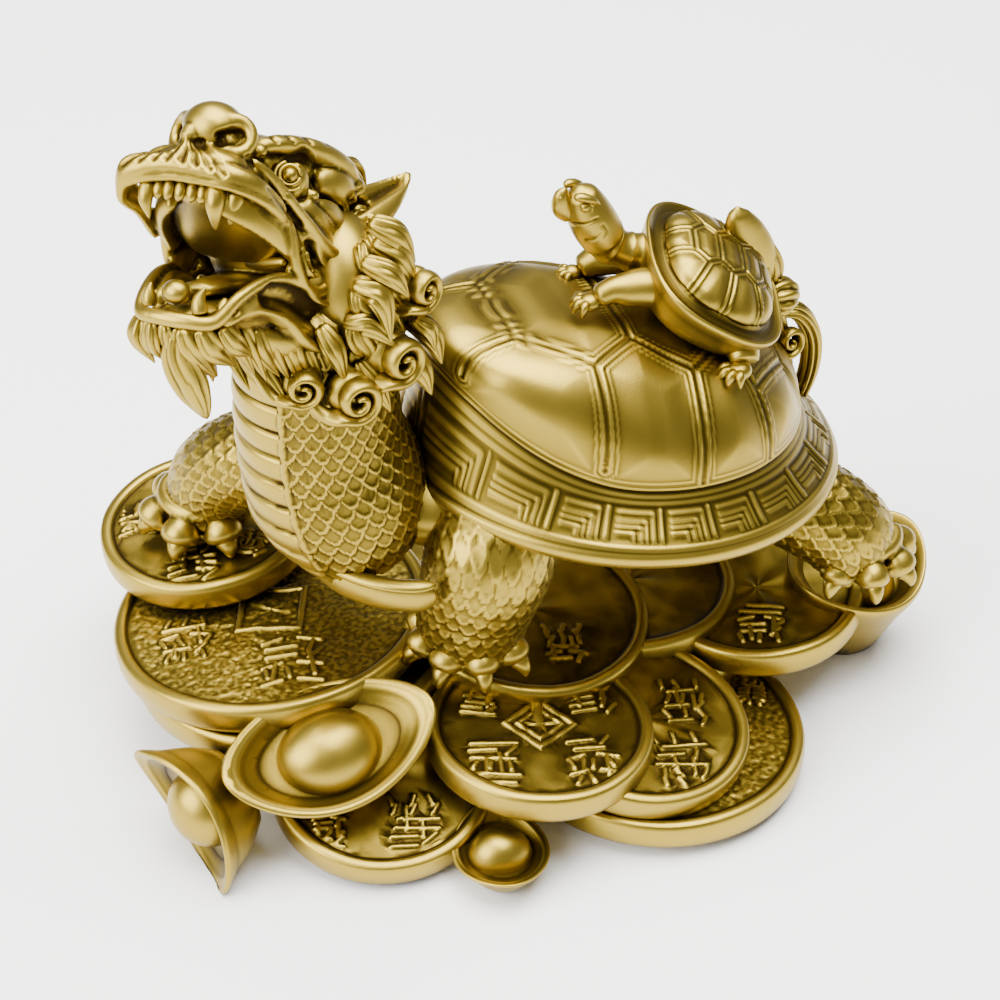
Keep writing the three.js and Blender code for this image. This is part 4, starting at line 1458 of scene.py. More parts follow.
    def jaw(self) -> list[bpy.types.Object]:
        """Makes the lower jaw with its rolled lip and the flaps at its sides."""
        parts = [
            loft(
                [
                    (0, 13, -4, 8.4, 6), (0, 6, -6.6, 9, 5), (0, -1, -9.6, 8.2, 3.2),
                    (0, -8, -11.4, 6.8, 2.2), (-0.6, -11.6, -12, 5.6, 1.6),
                ],
                34, 28,
            ),
            loft(
                [
                    (-10.8, 2, -5, 0.9, 0.9), (-10, -1.2, -3.9, 0.9, 0.9), (-9.2, -6, -5.4, 0.9, 0.9),
                    (-8, -10.4, -8.8, 0.95, 0.95), (-6.6, -12.8, -12.2, 1.05, 1.15),
                    (-3, -13.6, -12.9, 1.1, 1.2), (1, -13.2, -13.1, 1.1, 1.2), (5, -11.6, -12.7, 1.05, 1.1),
                    (7.6, -10.3, -8.8, 0.95, 0.95), (9.1, -6.1, -5.4, 0.9, 0.9),
                    (10.1, -1.2, -3.9, 0.9, 0.9), (11, 2.4, -4.8, 0.9, 0.9),
                ],
                16, 110,
            ),
        ]
        for part in (
            loft(
                [
                    (6.4, -9.0, -10.6, 1.2, 1.8), (7.8, -4.2, -7.6, 1.4, 2.8), (8.8, 1.2, -7.4, 1.6, 3.6),
                    (9.6, 7.0, -8.4, 1.8, 4.2), (10.2, 12.6, -7.4, 1.6, 3.0),
                ],
                26, 34,
            ),
            loft(
                [
                    (6.0, -10.6, -13.0, 0.7, 0.7), (7.3, -7.4, -10.4, 0.8, 0.8), (8.7, -4, -9.2, 0.8, 0.8),
                    (9.7, 1.7, -10.1, 0.85, 0.85), (10.4, 6, -11.9, 0.95, 0.9), (11.2, 9.6, -12, 1.0, 0.95),
                    (12.0, 12.6, -9.0, 0.9, 0.9), (12.4, 13.4, -6.0, 0.5, 0.5),
                ],
                16, 60,
            ),
            loft(
                [
                    (11.0, 2.2, -4.8, 0.8, 0.8), (11.4, 5, -6.0, 0.8, 0.75), (12, 9, -5.6, 0.75, 0.7),
                    (12.4, 12.4, -4.8, 0.5, 0.5),
                ],
                14, 24,
            ),
            loft([(3, -3, -12, 3, 2), (5.5, 4, -12.5, 4, 3), (7, 10, -11, 4, 3)], 20, 20),
        ):
            parts += pair(part)
        return parts

    def crisp_parts(self) -> list[bpy.types.Object]:
        """Makes teeth, tongue and eyes, which keep sharp edges."""
        parts = [
            loft([(0, 4, -5, 3.4, 1.6), (0, -4, -6.2, 3.4, 1.5), (-0.6, -9.4, -8, 2.6, 1.2)], 24, 24),
            ball((-1.4, -12.6, -9.0), (2.2, 1.9, 1.9), 26, 18),
            loft([(0, 3.5, -1, 1, 1.1), (4.6, 0.5, -1.6, 0.9, 1.0), (9.4, -1.2, -1.4, 0.8, 0.8)], 16, 24),
        ]
        for x, y in ((-4.9, -15.9), (-3.2, -15.9), (-1.5, -15.5), (0.2, -15.1), (1.7, -14.6)):
            parts.append(
                loft(
                    [(x, y, 7.0, 0.85, 0.8), (x, y - 0.2, 5.0, 0.9, 0.8), (x, y - 0.1, 3.6, 0.7, 0.5)], 14,
                    12, (0, 1, 0), (0.2, 0.3),
                )
            )
        for points in (
            ((-6.6, -16.2, 6.4, 1.3), (-6.6, -16.4, 3.6, 1.1), (-6.1, -15.2, 0.9, 0.15)),
            ((3.6, -14.4, 6.8, 1.6), (3.7, -14.2, 3.6, 1.4), (3.3, -12.2, 0.4, 0.2)),
            ((6.0, -12.6, 6.2, 1.5), (5.6, -12.2, 3.8, 1.2), (5.0, -11.2, 1.4, 0.2)),
            ((7.6, -9.6, 5.8, 1.2), (7.4, -9.0, 3.9, 1.0), (7.0, -8.2, 2.3, 0.2)),
            ((-5.4, -12.6, -11.4, 1.1), (-5.5, -13.2, -9.6, 0.9), (-5.2, -13.6, -7.9, 0.15)),
            ((3.1, -12.4, -12.0, 1.2), (2.8, -12.9, -10.0, 1.05), (3.7, -13.3, -8.0, 0.15)),
            ((5.6, -10.2, -11.6, 1.0), (5.4, -10.4, -10.0, 0.9), (5.6, -10.4, -8.8, 0.2)),
        ):
            parts.append(loft(points, 16, 20, (0, 1, 0), (0.1, 0.08)))
        eye = (8.9, -3.4, 11.0)
        look = (0.5, -0.86, 0.05)
        for part in (
            ball(eye, (1.15, 1.15, 1.15), 20, 14), roll(eye, 1.5, 0.32, look),
            roll((8.7, -3.0, 10.9), 2.2, 0.34, look, 0.6, 110),
        ):
            parts += pair(part)
        return parts

    def beard(self) -> list[bpy.types.Object]:
        """Makes the locks along the chin, the long one before the neck and the hair under the cheeks."""
        locks = [
            tuft((-7.4, -11, -12.4), (-8.2, -10, -15.4), (-7, -6.2, -18.8), 2.3),
            tuft((-4.8, -12.6, -13), (-5.4, -10.6, -16), (-4.9, -7, -18.4), 2.1),
            tuft((-2.4, -12.8, -13.4), (-2.9, -10, -15.8), (-2.6, -4.6, -16.8), 2.0),
            tuft((0.2, -12.4, -13.6), (0.4, -9, -16.8), (1.4, -2.6, -19.6), 2.5),
            tuft((2.8, -11.4, -13.4), (3.4, -8, -16.0), (4.2, -2.4, -17.6), 2.2),
            tuft((5.2, -9.8, -12.8), (6, -6.6, -14.8), (6.6, -2, -15.8), 1.8),
            lock(
                [
                    (-1, -11, -14, 2.4, 1.8), (-1.6, -8.6, -18, 3.0, 2.1), (-0.8, -5.4, -21.6, 2.9, 2.0),
                    (-0.2, -2.6, -24, 1.6, 1.3), (0, -0.8, -25.6, 0.3, 0.3),
                ],
                9,
            ),
        ]
        for side in (1, -1):
            for k in range(9):
                sway = 0.6 * math.sin(2.1 * k)
                root = (side * (4.6 + 0.8 * k), -7 + 2.3 * k, -11.6 + 0.1 * k)
                middle = (root[0] + side * 0.3, root[1] + 3.2 + sway, root[2] - 3.0)
                tip = (root[0] + side * 0.8, root[1] + 8.6, root[2] - 6.6 - sway)
                locks.append(tuft(root, middle, tip, 1.35 + 0.15 * (k % 3), 0.9, 5))
        return locks

    def crest(self) -> list[bpy.types.Object]:
        """Makes the short locks over the skull from ear to ear."""
        locks = []
        for row, (y, z) in enumerate(((7.5, 15.6), (11.5, 14.0), (15.5, 10.8))):
            for k in range(7):
                x = (k - 3) * 3.1 + (1.2 if row % 2 else 0)
                drop = 0.055 * x * x
                locks.append(
                    tuft(
                        (x, y, z - drop - 1.4), (x * 1.06, y + 2.6, z - drop + 0.4),
                        (x * 1.16, y + 6.4, z - drop + 0.8), 1.9, 0.8,
                    )
                )
        for side in (1, -1):
            for y, z, lift, width in (
                (10.4, 6.4, 3.4, 1.5), (11.0, 4.0, 3.2, 1.7), (13.4, 1.6, 3.6, 1.7), (14.2, -1.2, 3.0, 1.7),
                (14, -4.2, 1.6, 1.6),
            ):
                locks.append(
                    lock(
                        [
                            (side * 11.4, y, z, 0.8 * width, 0.7 * width),
                            (side * 12.8, y + 4.2, z + 0.1 * lift, width, 0.8 * width),
                            (side * 12.6, y + 8, z + 0.6 * lift, 0.7 * width, 0.6 * width),
                            (side * 12.8, y + 11, z + 1.3 * lift, 0.12, 0.1),
                        ],
                        7, 0.8, facing=(side, 0, 0),
                    )
                )
        return locks

    def fold(self, skin: bpy.types.Object) -> None:
        """Presses the folds into the melted skin."""
        ahead = (0.2, -0.97, 0.15)
        fans = []
        for k in (-6.4, -4.4, -2.7, -1.2, 0.6, 2.2, 3.8, 5.4):
            fans.append(
                [
                    (-1.4 + 0.4 * k, -15.6, 12.2), (-1.4 + 0.95 * k, -16.6, 10.8 - 0.03 * k * k),
                    (-1.4 + 1.35 * k, -17.4, 9.0 - 0.035 * k * k),
                ]
            )
        crease(skin, fans, 0.95, -0.7, ahead)
        for side in (1, -1):
            view = (side * 0.41, -0.91, -0.07)
            flank = (side * 0.95, -0.3, 0)
            crease(
                skin, [[(side * 11.6, 13.4, 10.4), (side * 12.7, 17.2, 13.5), (side * 13.7, 20.8, 16.4)]],
                2.0, -1.5, view,
            )
            crease(skin, [[(side * 11.2, 12.8, 9.8), (side * 11.8, 14.2, 10.8)]], 1.4, -1.3, view)
            crease(skin, [[(side * 4.9, -14, 14.3), (side * 3.0, -14, 13.4)]], 1.5, -1.6, view)
            crease(
                skin,
                [
                    [
                        (side * 8.2, -4.2, -7.2), (side * 9.4, 1.4, -7.0), (side * 10.6, 7.4, -8.4),
                        (side * 11.2, 10.4, -8.2),
                    ]
                ],
                2.6, -1.5, flank,
            )
            crease(
                skin, [[(side * 13.2, 10.6, -0.6), (side * 13.5, 12.6, -2.8), (side * 12.8, 12.6, -5.4)]],
                1.4, -0.6, flank,
            )
            cheek = [
                [
                    (side * 10.6, 1.6 + k, 8.6 - 0.3 * k), (side * 12.0, 5.2 + k, 6.8 - 0.9 * k),
                    (side * 12.2, 9 + k, 5.0 - 0.5 * k),
                ] for k in (0, 1.4, 2.8)
            ]
            crease(skin, cheek, 0.6, -0.5, view)
            brow = [
                [
                    (side * (4.8 + 1.2 * k), -6.2 + 2.8 * k, 17.0 + 0.6 * k),
                    (side * (6.6 + 1.2 * k), -4.2 + 2.8 * k, 15.4 + 0.7 * k),
                ] for k in range(5)
            ]
            crease(skin, brow, 0.5, -0.4, view)
            crease(
                skin, [[(side * 8.6, 1.0, 15.2), (side * 8.2, -1.2, 13.4), (side * 7.4, -4.0, 11.8)]], 1.5,
                -0.8, view,
            )
            crease(
                skin, [[(side * 6.4, -8.0, 12.2), (side * 8.0, -6.0, 9.8), (side * 9.4, -3.6, 7.6)]], 0.7,
                -0.7, view,
            )
            crease(
                skin, [[(side * 5.4, -10.4, 12.6), (side * 7.4, -8.4, 10.4), (side * 9.2, -5.4, 7.2)]], 0.5,
                0.35, view,
            )
            crease(
                skin, [[(side * 9.0, -8.6, 7.4), (side * 10, -4.8, 5.4), (side * 10.8, 0, 3.4)]], 0.7, -0.6,
                view,
            )
            crease(
                skin, [[(side * 10.9, 2.4, 1.8), (side * 11.2, 3.8, -0.6), (side * 11.4, 6.2, -1.6)]], 1.1,
                -1.6, view,
            )

    def build(self, finish: bpy.types.Material) -> bpy.types.Object:
        """Makes and dresses the head."""
        skin = join(self.skull() + self.lips() + self.jaw(), "head")
        fuse(skin, self.voxel, 3)
        self.fold(skin)
        apply_modifier(skin, "DECIMATE", ratio=0.62)
        head = join([skin] + self.crisp_parts() + self.beard() + self.crest(), "head")
        place_with(head, pose(*self.place))
        return settle(head, finish, kept=0.8)


@dataclass
class Mane:
    """Rows of locks behind the head, flames at its sides and curls beside the neck."""

    centre: Point = (1, -25.5, 91)
    radii: Point = (11.6, 8.4, 12.8)
    # Rows down the back: degrees above the middle at root and tip, reach to each side, count
    rows: tuple[tuple[float, float, float, int], ...] = (
        (56, 20, 62, 6), (32, -4, 84, 8), (10, -28, 92, 9), (-14, -52, 96, 9),
    )
    # Curls beside the neck: centre, radius, first angle, and the hair that leads in
    curls: tuple[tuple[Point, float, float, tuple[Point, ...]], ...] = (
        ((12.6, -15.9, 95.2), 3.9, -130, ((9.6, -22.4, 95.6), (11, -20.2, 92.8))),
        ((15.6, -20.9, 85.6), 4.7, -130, ((11.4, -31, 88.0), (13.6, -28.6, 84.6), (14.8, -26.2, 82.4))),
        ((17.0, -28.4, 81.4), 4.5, -130, ((11.6, -37.0, 83.4), (13.8, -34.8, 80.6), (15.6, -32.8, 78.6))),
        ((14.6, -36.0, 83.8), 3.6, -130, ((7.6, -43, 88.4), (10.4, -41.6, 84.8), (12.8, -39.8, 81.8))),
    )
    flames: tuple[tuple[Point, Point, Point, float], ...] = (
        ((11.4, -26.6, 98.4), (14.6, -23.4, 97.0), (16.4, -22.4, 89.6), 2.2),
        ((11.6, -32.0, 92.4), (14.2, -30.6, 89.2), (15.6, -29.4, 83.6), 1.9),
        ((11, -24.9, 101.6), (14.2, -21.4, 100), (14.8, -18.8, 95.8), 1.9),
        ((12.6, -28.6, 92.6), (15.2, -25.6, 92.8), (16.2, -21.6, 88.6), 1.8),
        ((8.4, -22.7, 106.4), (10.8, -19.2, 104.4), (11.4, -16.5, 99.4), 2.1),
        ((9.2, -22.5, 103.4), (11.8, -19.2, 101.4), (12, -16.6, 95.8), 2.0),
        ((6, -43, 90.4), (8.4, -42.2, 86.4), (12.2, -39.4, 79.8), 1.5),
        ((8.0, -41.4, 90.2), (11, -40, 86.0), (14.2, -37.8, 80.2), 1.5),
        ((3.4, -44.2, 90.6), (5.8, -44.0, 86.4), (9, -42.6, 81.4), 1.4),
        ((13.0, -26.8, 85.6), (16.0, -24.8, 81.8), (17.0, -23.0, 77.6), 1.7),
        ((11.6, -20.6, 85.4), (14.2, -17.2, 82.2), (15.4, -15.8, 77.6), 2.0),
        ((9.4, -17.6, 88.6), (11.6, -14.4, 86.0), (12.6, -13.0, 80.8), 2.1),
        ((12.4, -17.4, 90.6), (13.6, -15.4, 88.6), (14.0, -14.6, 84.6), 1.6),
    )

    def tile(self, turn: float, high: float, low: float, width: float) -> bpy.types.Object:
        """Lays one lock down the back of the mane.

        Args:
            turn: Degrees from straight back, to the left.
            high: Degrees above the middle where it starts.
            low: Degrees above the middle where it ends.
            width: Half width of the lock.

        Returns:
            The lock.
        """
        table = []
        for k, (share, out, size) in enumerate(
            ((0, 0.94, 0.7), (0.35, 1.06, 1.0), (0.7, 1.13, 0.75), (1.0, 1.12, 0.06))
        ):
            a = math.radians(turn + 5 * math.sin(2.4 * k))
            e = math.radians(high + (low - high) * share)
            way = (math.sin(a) * math.cos(e), math.cos(a) * math.cos(e), math.sin(e))
            x, y, z = (c + out * r * w for c, r, w in zip(self.centre, self.radii, way))
            table.append((x, y, z, width * size, 0.6 * width * size))
        a = math.radians(turn)
        return lock(table, 9, 1.5, 32, 26, (math.sin(a), math.cos(a), 0.2))

    def build(self, finish: bpy.types.Material) -> bpy.types.Object:
        """Makes and dresses the mane."""
        parts = [ball(self.centre, self.radii, 60, 40)]
        for high, low, side_reach, count in self.rows:
            for k in range(count):
                turn = side_reach * (2 * k / (count - 1) - 1)
                parts.append(self.tile(turn, high, low, 2.6))
        for side in (1, -1):
            spread = 1 if side > 0 else -0.88
            for centre, radius, start, stem in self.curls:
                x = centre[0] * spread
                outward = (side * 1.0, (centre[1] + 30) * 0.04, 0.06)
                lead = [(p[0] * spread, p[1], p[2]) for p in stem]
                first = start if side > 0 else 180 - start
                parts.append(
                    spiral_curl((x, centre[1], centre[2]), radius, outward, 1.75, first, side, lead)
                )
                inward = np.array(outward) / np.linalg.norm(outward) * radius * 0.55
                parts.append(
                    ball(
                        tuple(np.array((x, centre[1], centre[2])) - inward),
                        (0.6 * radius, 0.86 * radius, 0.86 * radius), 24, 16,
                    )
                )
            for root, middle, tip, width in self.flames:
                points = [(p[0] * spread, p[1], p[2]) for p in (root, middle, tip)]
                parts.append(
                    lock(
                        [
                            (*points[0], 0.7 * width, 0.6 * width), (*points[1], width, 0.7 * width),
                            (*points[2], 0.12, 0.1),
                        ],
                        7, 1.0, facing=(side, 0.3, 0),
                    )
                )
        return settle(join(parts, "mane"), finish, kept=0.74)


@dataclass
class Tail:
    """Tail that climbs behind the shell: a leaf, a grooved ball, a curl and a hoop of hair."""

    def build(self, finish: bpy.types.Material) -> bpy.types.Object:
        """Makes and dresses the tail."""
        parts = [
            loft(
                [
                    (-1, 45, 40, 7.6, 6), (-1, 51, 50, 4.6, 4), (-1, 51, 60, 3.8, 3.2),
                    (-1, 48.6, 70, 3.6, 3.0), (-0.5, 46.5, 77, 3.4, 2.6),
                ],
                60, 60, (0, 1, 0), shape=fluted(10, 0.16),
            ),
            loft(
                [
                    (0, 47, 72, 2.8, 2.2), (0.2, 46.4, 77.4, 3.9, 2.6), (0, 44.2, 83, 3.7, 2.3),
                    (0, 42.8, 87.2, 2.0, 1.5), (0, 42.6, 89.0, 0.4, 0.4),
                ],
                40, 50, (1, 0, 0),
            ),
            lock(
                [
                    (0.4, 48.6, 71, 1.2, 1.4), (0.6, 49.2, 76, 2.2, 1.8), (0.2, 47.6, 81, 1.5, 1.3),
                    (0, 45.4, 85.4, 0.2, 0.2),
                ],
                7, 0.6, 36, 50, (1, 0, 0),
            ),
            lock(
                [
                    (1.6, 46.6, 71.4, 1.4, 1.4), (2.0, 46.6, 75.6, 1.8, 1.6), (1.2, 46.6, 80, 0.9, 0.9),
                    (0.8, 46.0, 83, 0.2, 0.2),
                ],
                6, 0.6, 36, 50, (1, 0, 0),
            ),
            loft(
                [
                    (2, 47.4, 71.2, 2.0, 2.0), (2, 49.6, 71.2, 3.3, 3.3), (2, 51.6, 70.6, 3.2, 3.2),
                    (2.2, 53.6, 69.6, 1.6, 1.6),
                ],
                48, 30, (0, 0, 1), (0.2, 0.25), fluted(9, 0.3, 2.4),
            ),
            spiral_curl(
                (2.6, 52.3, 62), 3.4, (1, 0.2, 0.2), 1.5, -150, 1, ((0.4, 46, 58.6), (1.4, 49, 57.8)),
            ),
            lock(
                [
                    (0, 50.4, 66.8, 1.2, 1.6), (0, 54.6, 66.0, 1.6, 2.2), (0, 57.6, 61.4, 1.7, 2.4),
                    (0, 58.2, 55, 1.7, 2.2), (0, 56.8, 49, 1.4, 1.8), (0, 54.4, 44.6, 0.8, 1.0),
                ],
                9, 0.4, 44, 80, (1, 0, 0),
            ),
        ]
        return settle(join(parts, "tail"), finish)


@dataclass
class SmallTurtle:
    """The small turtle that climbs over the large shell."""

    form: Dome = field(default_factory=lambda: Dome(12.8, 14.2, 0.79, 1.2, 5.6, (2.3,) * 4, 0, 0, 2.6))
    place: tuple[float, ...] = (4.8, 36.3, 80.2, -14, 33, -9)

    def ground(self, theta: Array, rise: Array) -> Array:
        """Puts each vertex on the small shell, with a smooth gutter inside its raised edge."""
        form = self.form
        rows = np.array(
            [
                (0, 0.0, -7.4), (0.1, 0.55, -7.0), (0.15, 0.8, -6.0), (0.21, 0.92, -3.8),
                (0.25, 0.98, -1.4), (0.28, 1.02, -0.1), (0.3, 1.03, 0.6), (0.32, 1.01, 1.0),
                (0.34, 0.985, 0.8), (0.4, 0.9, 0.35), (0.45, 0.82, 0.6),
                (0.47, form.band, form.band_height),
            ]
        )
        r = np.interp(rise, rows[:, 0], rows[:, 1])
        z = np.interp(rise, rows[:, 0], rows[:, 2])
        turn = np.clip((rise - 0.47) / 0.53, 0, 1) * math.pi / 2
        on_dome = rise > 0.47
        power = form.power(theta)
        even = (np.cos(turn) ** power + np.sin(turn) ** power) ** (1 / power)
        r = np.where(on_dome, form.band * np.cos(turn) / even, r)
        r = r / form.rim_share(np.cos(theta), np.sin(theta))
        x, y = form.half_width * r * np.cos(theta), form.half_length * r * np.sin(theta)
        z = np.where(
            on_dome, form.band_height + (form.dome_height - form.band_height) * np.sin(turn) / even, z,
        )
        return np.stack([x, y, z], 1)

    def seams(self) -> list[Array]:
        """Returns the seams between the small scutes as dots over the dome."""
        form = self.form
        rows = (-7.0, -2.6, 2.2, 6.6)
        lines = []
        for side in (-1, 1):
            corners = [(side * x, y) for x, y in (
                (2.6, -7.0), (4.6, -4.8), (3.2, -2.6), (4.8, -0.2), (3.2, 2.2), (4.6, 4.4),
                (2.4, 6.6),
            )]
            lines.append(form.over(corners, 0.08))
            lines += [form.over(((corners[i][0], corners[i][1]), form.edge(side * x, y)), 0.08)
                      for i, x, y in (
                          (0, 2.2, -9.0), (1, 9.0, -6.6), (3, 9.0, -0.6), (5, 9.0, 5.6), (6, 3.0, 9.0),
                      )]
        widths = (2.6, 3.2, 3.2, 2.4)
        lines += [form.over(((-x, y), (x, y)), 0.08) for x, y in zip(widths, rows)]
        return lines

    def shell(self) -> bpy.types.Object:
        """Makes the small shell with its scutes."""
        around, along = 250, 96
        shell = Clay.wrap(around, along, self.ground)
        points = positions(shell)
        on_dome = Clay.blank(around, along).rise > 0.47
        seam = near_lines(points[on_dome], self.seams(), 3.0)
        foot = near_lines(points[on_dome], [self.form.foot(0.08)], 1.0)
        height = np.zeros(len(points))
        height[on_dome] = (
            0.2 * ridge(
                seam - 0.5, 0.26,
            ) - 0.1 * ridge(seam, 0.32) + 0.22 * step(seam, 0.6, 2.6) - 0.15 * ridge(foot, 0.4)
        )
        press(shell, height)
        return shell

    def head(self) -> list[bpy.types.Object]:
        """Makes the head with its beak, eyes and the folds of the neck, in the figure's frame."""
        def folds(theta: Array, rise: Array) -> Array:
            """Gives the skin folds round the neck."""
            return 1 - 0.07 * np.abs(np.sin(24 * rise)) ** 0.6 * step(rise, 0.16, 0.22) * (
                1 - step(rise, 0.46, 0.52)
            )
        skull = loft(
            [
                (0.5, 29.2, 82.8, 3.5, 3.4), (-0.4, 26.0, 83.8, 3.4, 3.4), (-1.2, 23.0, 84.8, 3.2, 3.4),
                (-2.0, 20.9, 86.2, 3.5, 3.9), (-2.3, 19.4, 88.6, 3.8, 4.3), (-2.5, 18.2, 91.0, 3.8, 4.2),
                (-2.7, 17.2, 93.4, 3.4, 3.7), (-2.8, 16.3, 95.6, 2.7, 2.8), (-2.9, 15.7, 97.2, 1.5, 1.5),
            ],
            72, 110, (1, 0, 0), (0.04, 0.08), folds,
        )
        look = (0.73, -0.3, 0.6)
        mouth = [(-1.4, 12.6, 93.0), (-0.6, 14.4, 92.0), (-0.2, 16.2, 91.6), (0.2, 17.8, 92.4)]
        wrinkles = [
            [(0.2, 18.6, 89.6), (0.4, 17.4, 88.8), (0.2, 16.0, 89.0)],
            [(0.4, 18.8, 91.0), (0.6, 19.4, 90.0), (0.4, 19.0, 88.6)],
        ]
        crease(skull, [mouth], 0.4, -0.4, look)
        crease(skull, wrinkles, 0.45, -0.22, look)
        parts = [skull]
        for side in (-1, 1):
            at = (-2.6 + side * 2.3, 16.0 + (0.4 if side < 0 else 0), 94.8)
            parts += [ball(at, (0.95, 0.95, 0.95), 18, 12), roll(at, 1.2, 0.34, (side * 0.85, -0.5, 0.3))]
            brow = [
                (at[0] - side * 0.4, 14.2, 96.6, 0.5, 0.5), (at[0], 15.4, 96.7, 0.9, 0.7),
                (at[0] + side * 0.3, 17.2, 95.9, 0.8, 0.6), (at[0], 18.8, 94.2, 0.2, 0.2),
            ]
            parts.append(loft(brow, 20, 24))
        parts.append(
            loft(
                [
                    (-2.8, 15.0, 92.2, 1.6, 1.2), (-2.9, 13.4, 93.8, 1.8, 1.3),
                    (-3.0, 13.2, 95.6, 1.5, 1.2), (-3.0, 13.8, 97.4, 0.7, 0.6),
                ],
                32, 32, (1, 0, 0), (0.1, 0.2),
            )
        )
        parts += [ball((-2.9 + side * 0.8, 12.6, 96.2), (0.3, 0.3, 0.3), 10, 8) for side in (-1, 1)]
        return parts

    @staticmethod
    def paw(centre: Point, heading: float, radius: float) -> list[bpy.types.Object]:
        """Makes a paw with four toes round the heading, in degrees from the left side."""
        x, y, z = centre
        parts = [ball((x, y, z), (radius, radius, 0.75 * radius), 20, 14)]
        for i in range(4):
            angle = math.radians(heading - 54 + 36 * i)
            out = (math.cos(angle), math.sin(angle))
            parts.append(
                loft(
                    [
                        (
                            x + out[0] * 0.4 * radius, y + out[1] * 0.4 * radius, z + 0.3, 0.36 * radius,
                            0.36 * radius,
                        ),
                        (
                            x + out[0] * 1.1 * radius, y + out[1] * 1.1 * radius, z + 0.2, 0.4 * radius,
                            0.4 * radius,
                        ),
                        (
                            x + out[0] * 1.5 * radius, y + out[1] * 1.5 * radius, z - 0.35 * radius,
                            0.2 * radius, 0.2 * radius,
                        ),
                        (
                            x + out[0] * 1.62 * radius, y + out[1] * 1.62 * radius, z - 0.7 * radius, 0.05,
                            0.05,
                        ),
                    ],
                    16, 18,
                )
            )
        return parts

    def limbs(self) -> list[bpy.types.Object]:
        """Makes legs, paws and the stub of a tail, in the figure's frame."""
        parts = [
            loft(
                [
                    (7.4, 27.5, 81.0, 3.1, 2.9), (6.8, 24.0, 82.2, 3.2, 3.1), (6.2, 20.8, 82.3, 2.8, 2.8),
                    (5.8, 18.2, 82.4, 2.1, 2.1), (5.5, 15.4, 81.4, 1.8, 1.7),
                ],
                40, 40, caps=(0.1, 0.1),
            ),
            loft(
                [(-6, 28, 79.6, 3.0, 2.8), (-7.6, 21.6, 79.2, 2.7, 2.6), (-8, 18.4, 78.0, 1.9, 1.8)], 32,
                32,
            ),
            loft(
                [(12, 36, 75, 3.2, 3.0), (15.4, 36.8, 72.8, 2.9, 2.6), (17.6, 36.4, 71.2, 2.3, 2.0)], 28,
                28, (1, 0, 0),
            ),
            loft(
                [(-6, 38, 74, 3.2, 3.2), (-9.6, 41, 70.4, 2.8, 2.6), (-10.6, 42, 67.4, 2.1, 1.9)], 28, 28,
                (1, 0, 0),
            ),
            loft(
                [(3, 47, 71.6, 2.2, 1.6), (2.6, 49.6, 69.6, 1.2, 1.0), (2.4, 51.4, 67.6, 0.3, 0.3)], 18, 18,
            ),
        ]
        parts += self.paw((5.3, 14.6, 80.9), 262, 1.9) + self.paw((-8, 17.4, 77.6), 262, 1.7)
        parts += self.paw((18.0, 35.2, 70.6), 285, 2.1) + self.paw((-10.8, 42, 66.4), 200, 1.9)
        return parts

    def build(self, finish: bpy.types.Material) -> bpy.types.Object:
        """Makes and dresses the small turtle."""
        body = self.shell()
        place_with(body, pose(*self.place))
        return settle(join([body] + self.head() + self.limbs(), "small_turtle"), finish, kept=0.8)


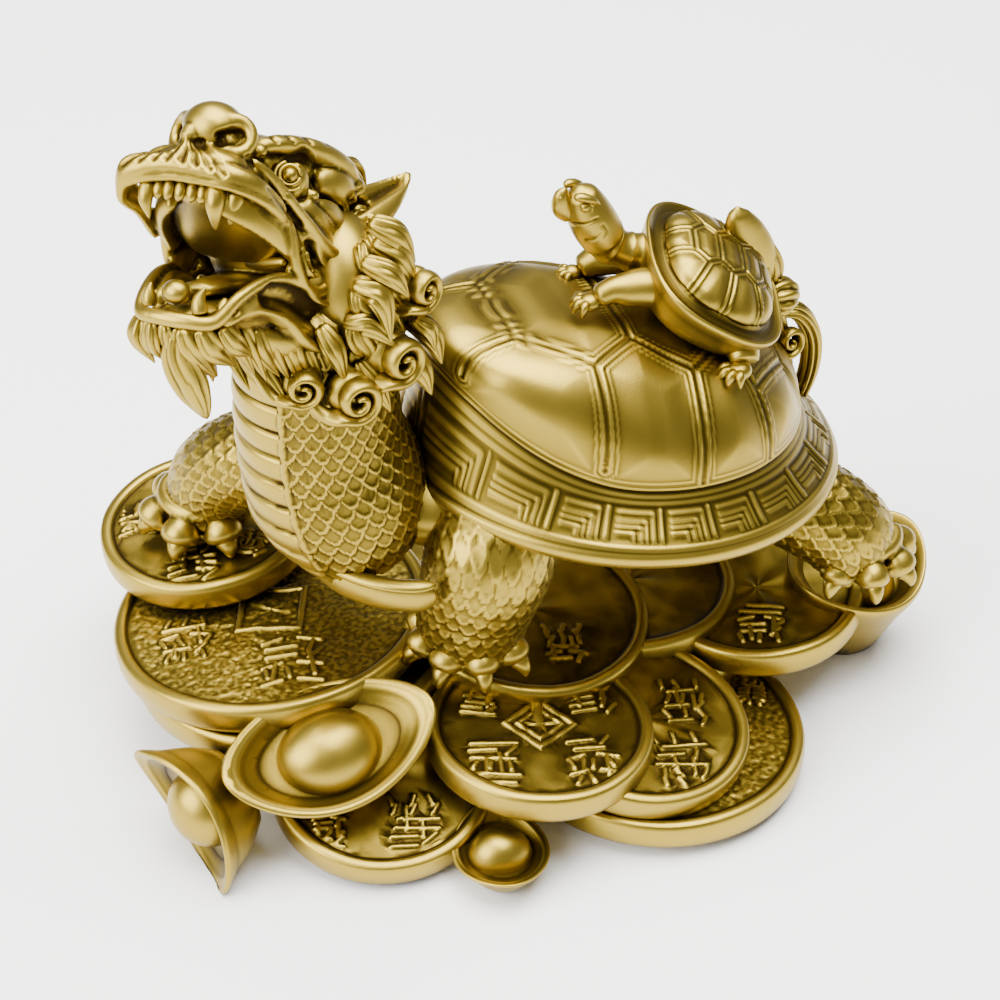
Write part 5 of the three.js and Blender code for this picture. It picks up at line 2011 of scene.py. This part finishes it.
@dataclass
class Studio:
    """Pale floor, soft lights and the camera at the photograph's angle."""

    target: Point = (6, 0, 45)
    azimuth: float = 68
    elevation: float = 38
    distance: float = 450
    focal_px: float = 2745
    image_px: float = 1000
    centre_px: tuple[float, float] = (505, 505)

    def in_row(self, point: Point) -> Vector:
        """Turns a point of the maker's frame, in millimetres, to metres in the row frame."""
        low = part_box(NODE)[0]
        return (Vector(point) - Vector(CASTING_CORNER)) * MM + low

    def camera(self) -> None:
        """Sets the camera."""
        a, e = math.radians(self.azimuth), math.radians(self.elevation)
        away = Vector((math.sin(a) * math.cos(e), -math.cos(a) * math.cos(e), math.sin(e)))
        data = bpy.data.cameras.new("camera")
        data.angle = 2 * math.atan(0.5 * self.image_px / self.focal_px)
        data.shift_x = -(self.centre_px[0] - 0.5 * self.image_px) / self.image_px
        data.shift_y = (self.centre_px[1] - 0.5 * self.image_px) / self.image_px
        data.clip_start = 0.01
        camera = bpy.data.objects.new("camera", data)
        bpy.context.scene.collection.objects.link(camera)
        camera.location = self.in_row(self.target) + away * self.distance * MM
        camera.rotation_euler = (-away).to_track_quat("-Z", "Y").to_euler()
        bpy.context.scene.camera = camera

    def light(self, name: str, at: Point, size: float, power: float, colour: str = "#FFFFFF") -> None:
        """Hangs a soft square light that looks at the figure.

        Args:
            name: Name of the light.
            at: Place in metres.
            size: Side in metres.
            power: Watts.
            colour: Colour of the light.
        """
        data = bpy.data.lights.new(name, "AREA")
        data.shape = "SQUARE"
        data.size = size
        data.energy = power
        data.color = linear(colour)[:3]
        lamp = bpy.data.objects.new(name, data)
        bpy.context.scene.collection.objects.link(lamp)
        lamp.location = at
        lamp.rotation_euler = (Vector((0, 0, 0.05)) - Vector(at)).to_track_quat("-Z", "Y").to_euler()

    def floor(self) -> None:
        """Lays the pale floor."""
        deselect()
        bpy.ops.mesh.primitive_plane_add(size=6, location=(0, 0, 0))
        floor = bpy.context.object
        floor.name = "floor"
        material = bpy.data.materials.new("pale_matt_paper")
        material.use_nodes = True
        shader = material.node_tree.nodes["Principled BSDF"]
        shader.inputs["Base Color"].default_value = linear("#F6F5F3")
        shader.inputs["Roughness"].default_value = 0.9
        floor.data.materials.append(material)

    def build(self) -> None:
        """Sets up the whole studio."""
        world = bpy.data.worlds.new("studio")
        world.use_nodes = True
        world.node_tree.nodes["Background"].inputs["Color"].default_value = linear("#F0EEEA")
        world.node_tree.nodes["Background"].inputs["Strength"].default_value = 0.42
        bpy.context.scene.world = world
        self.light("top", at=(-0.05, 0.05, 0.8), size=0.8, power=30)
        self.light("front", at=(0.12, -0.82, 0.58), size=0.8, power=24)
        self.floor()
        self.camera()


def main() -> None:
    """Builds the studio and the pieces in order and reports each."""
    logging.basicConfig(level=logging.INFO, format="%(message)s")
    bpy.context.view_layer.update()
    Studio().build()
    finish = GoldLacquer().build()
    for part in (Heap(), Carapace(), Neck(), Legs(), Head(), Mane(), Tail(), SmallTurtle()):
        part.build(finish)
    Clay.discard()


if __name__ == "__main__":
    main()
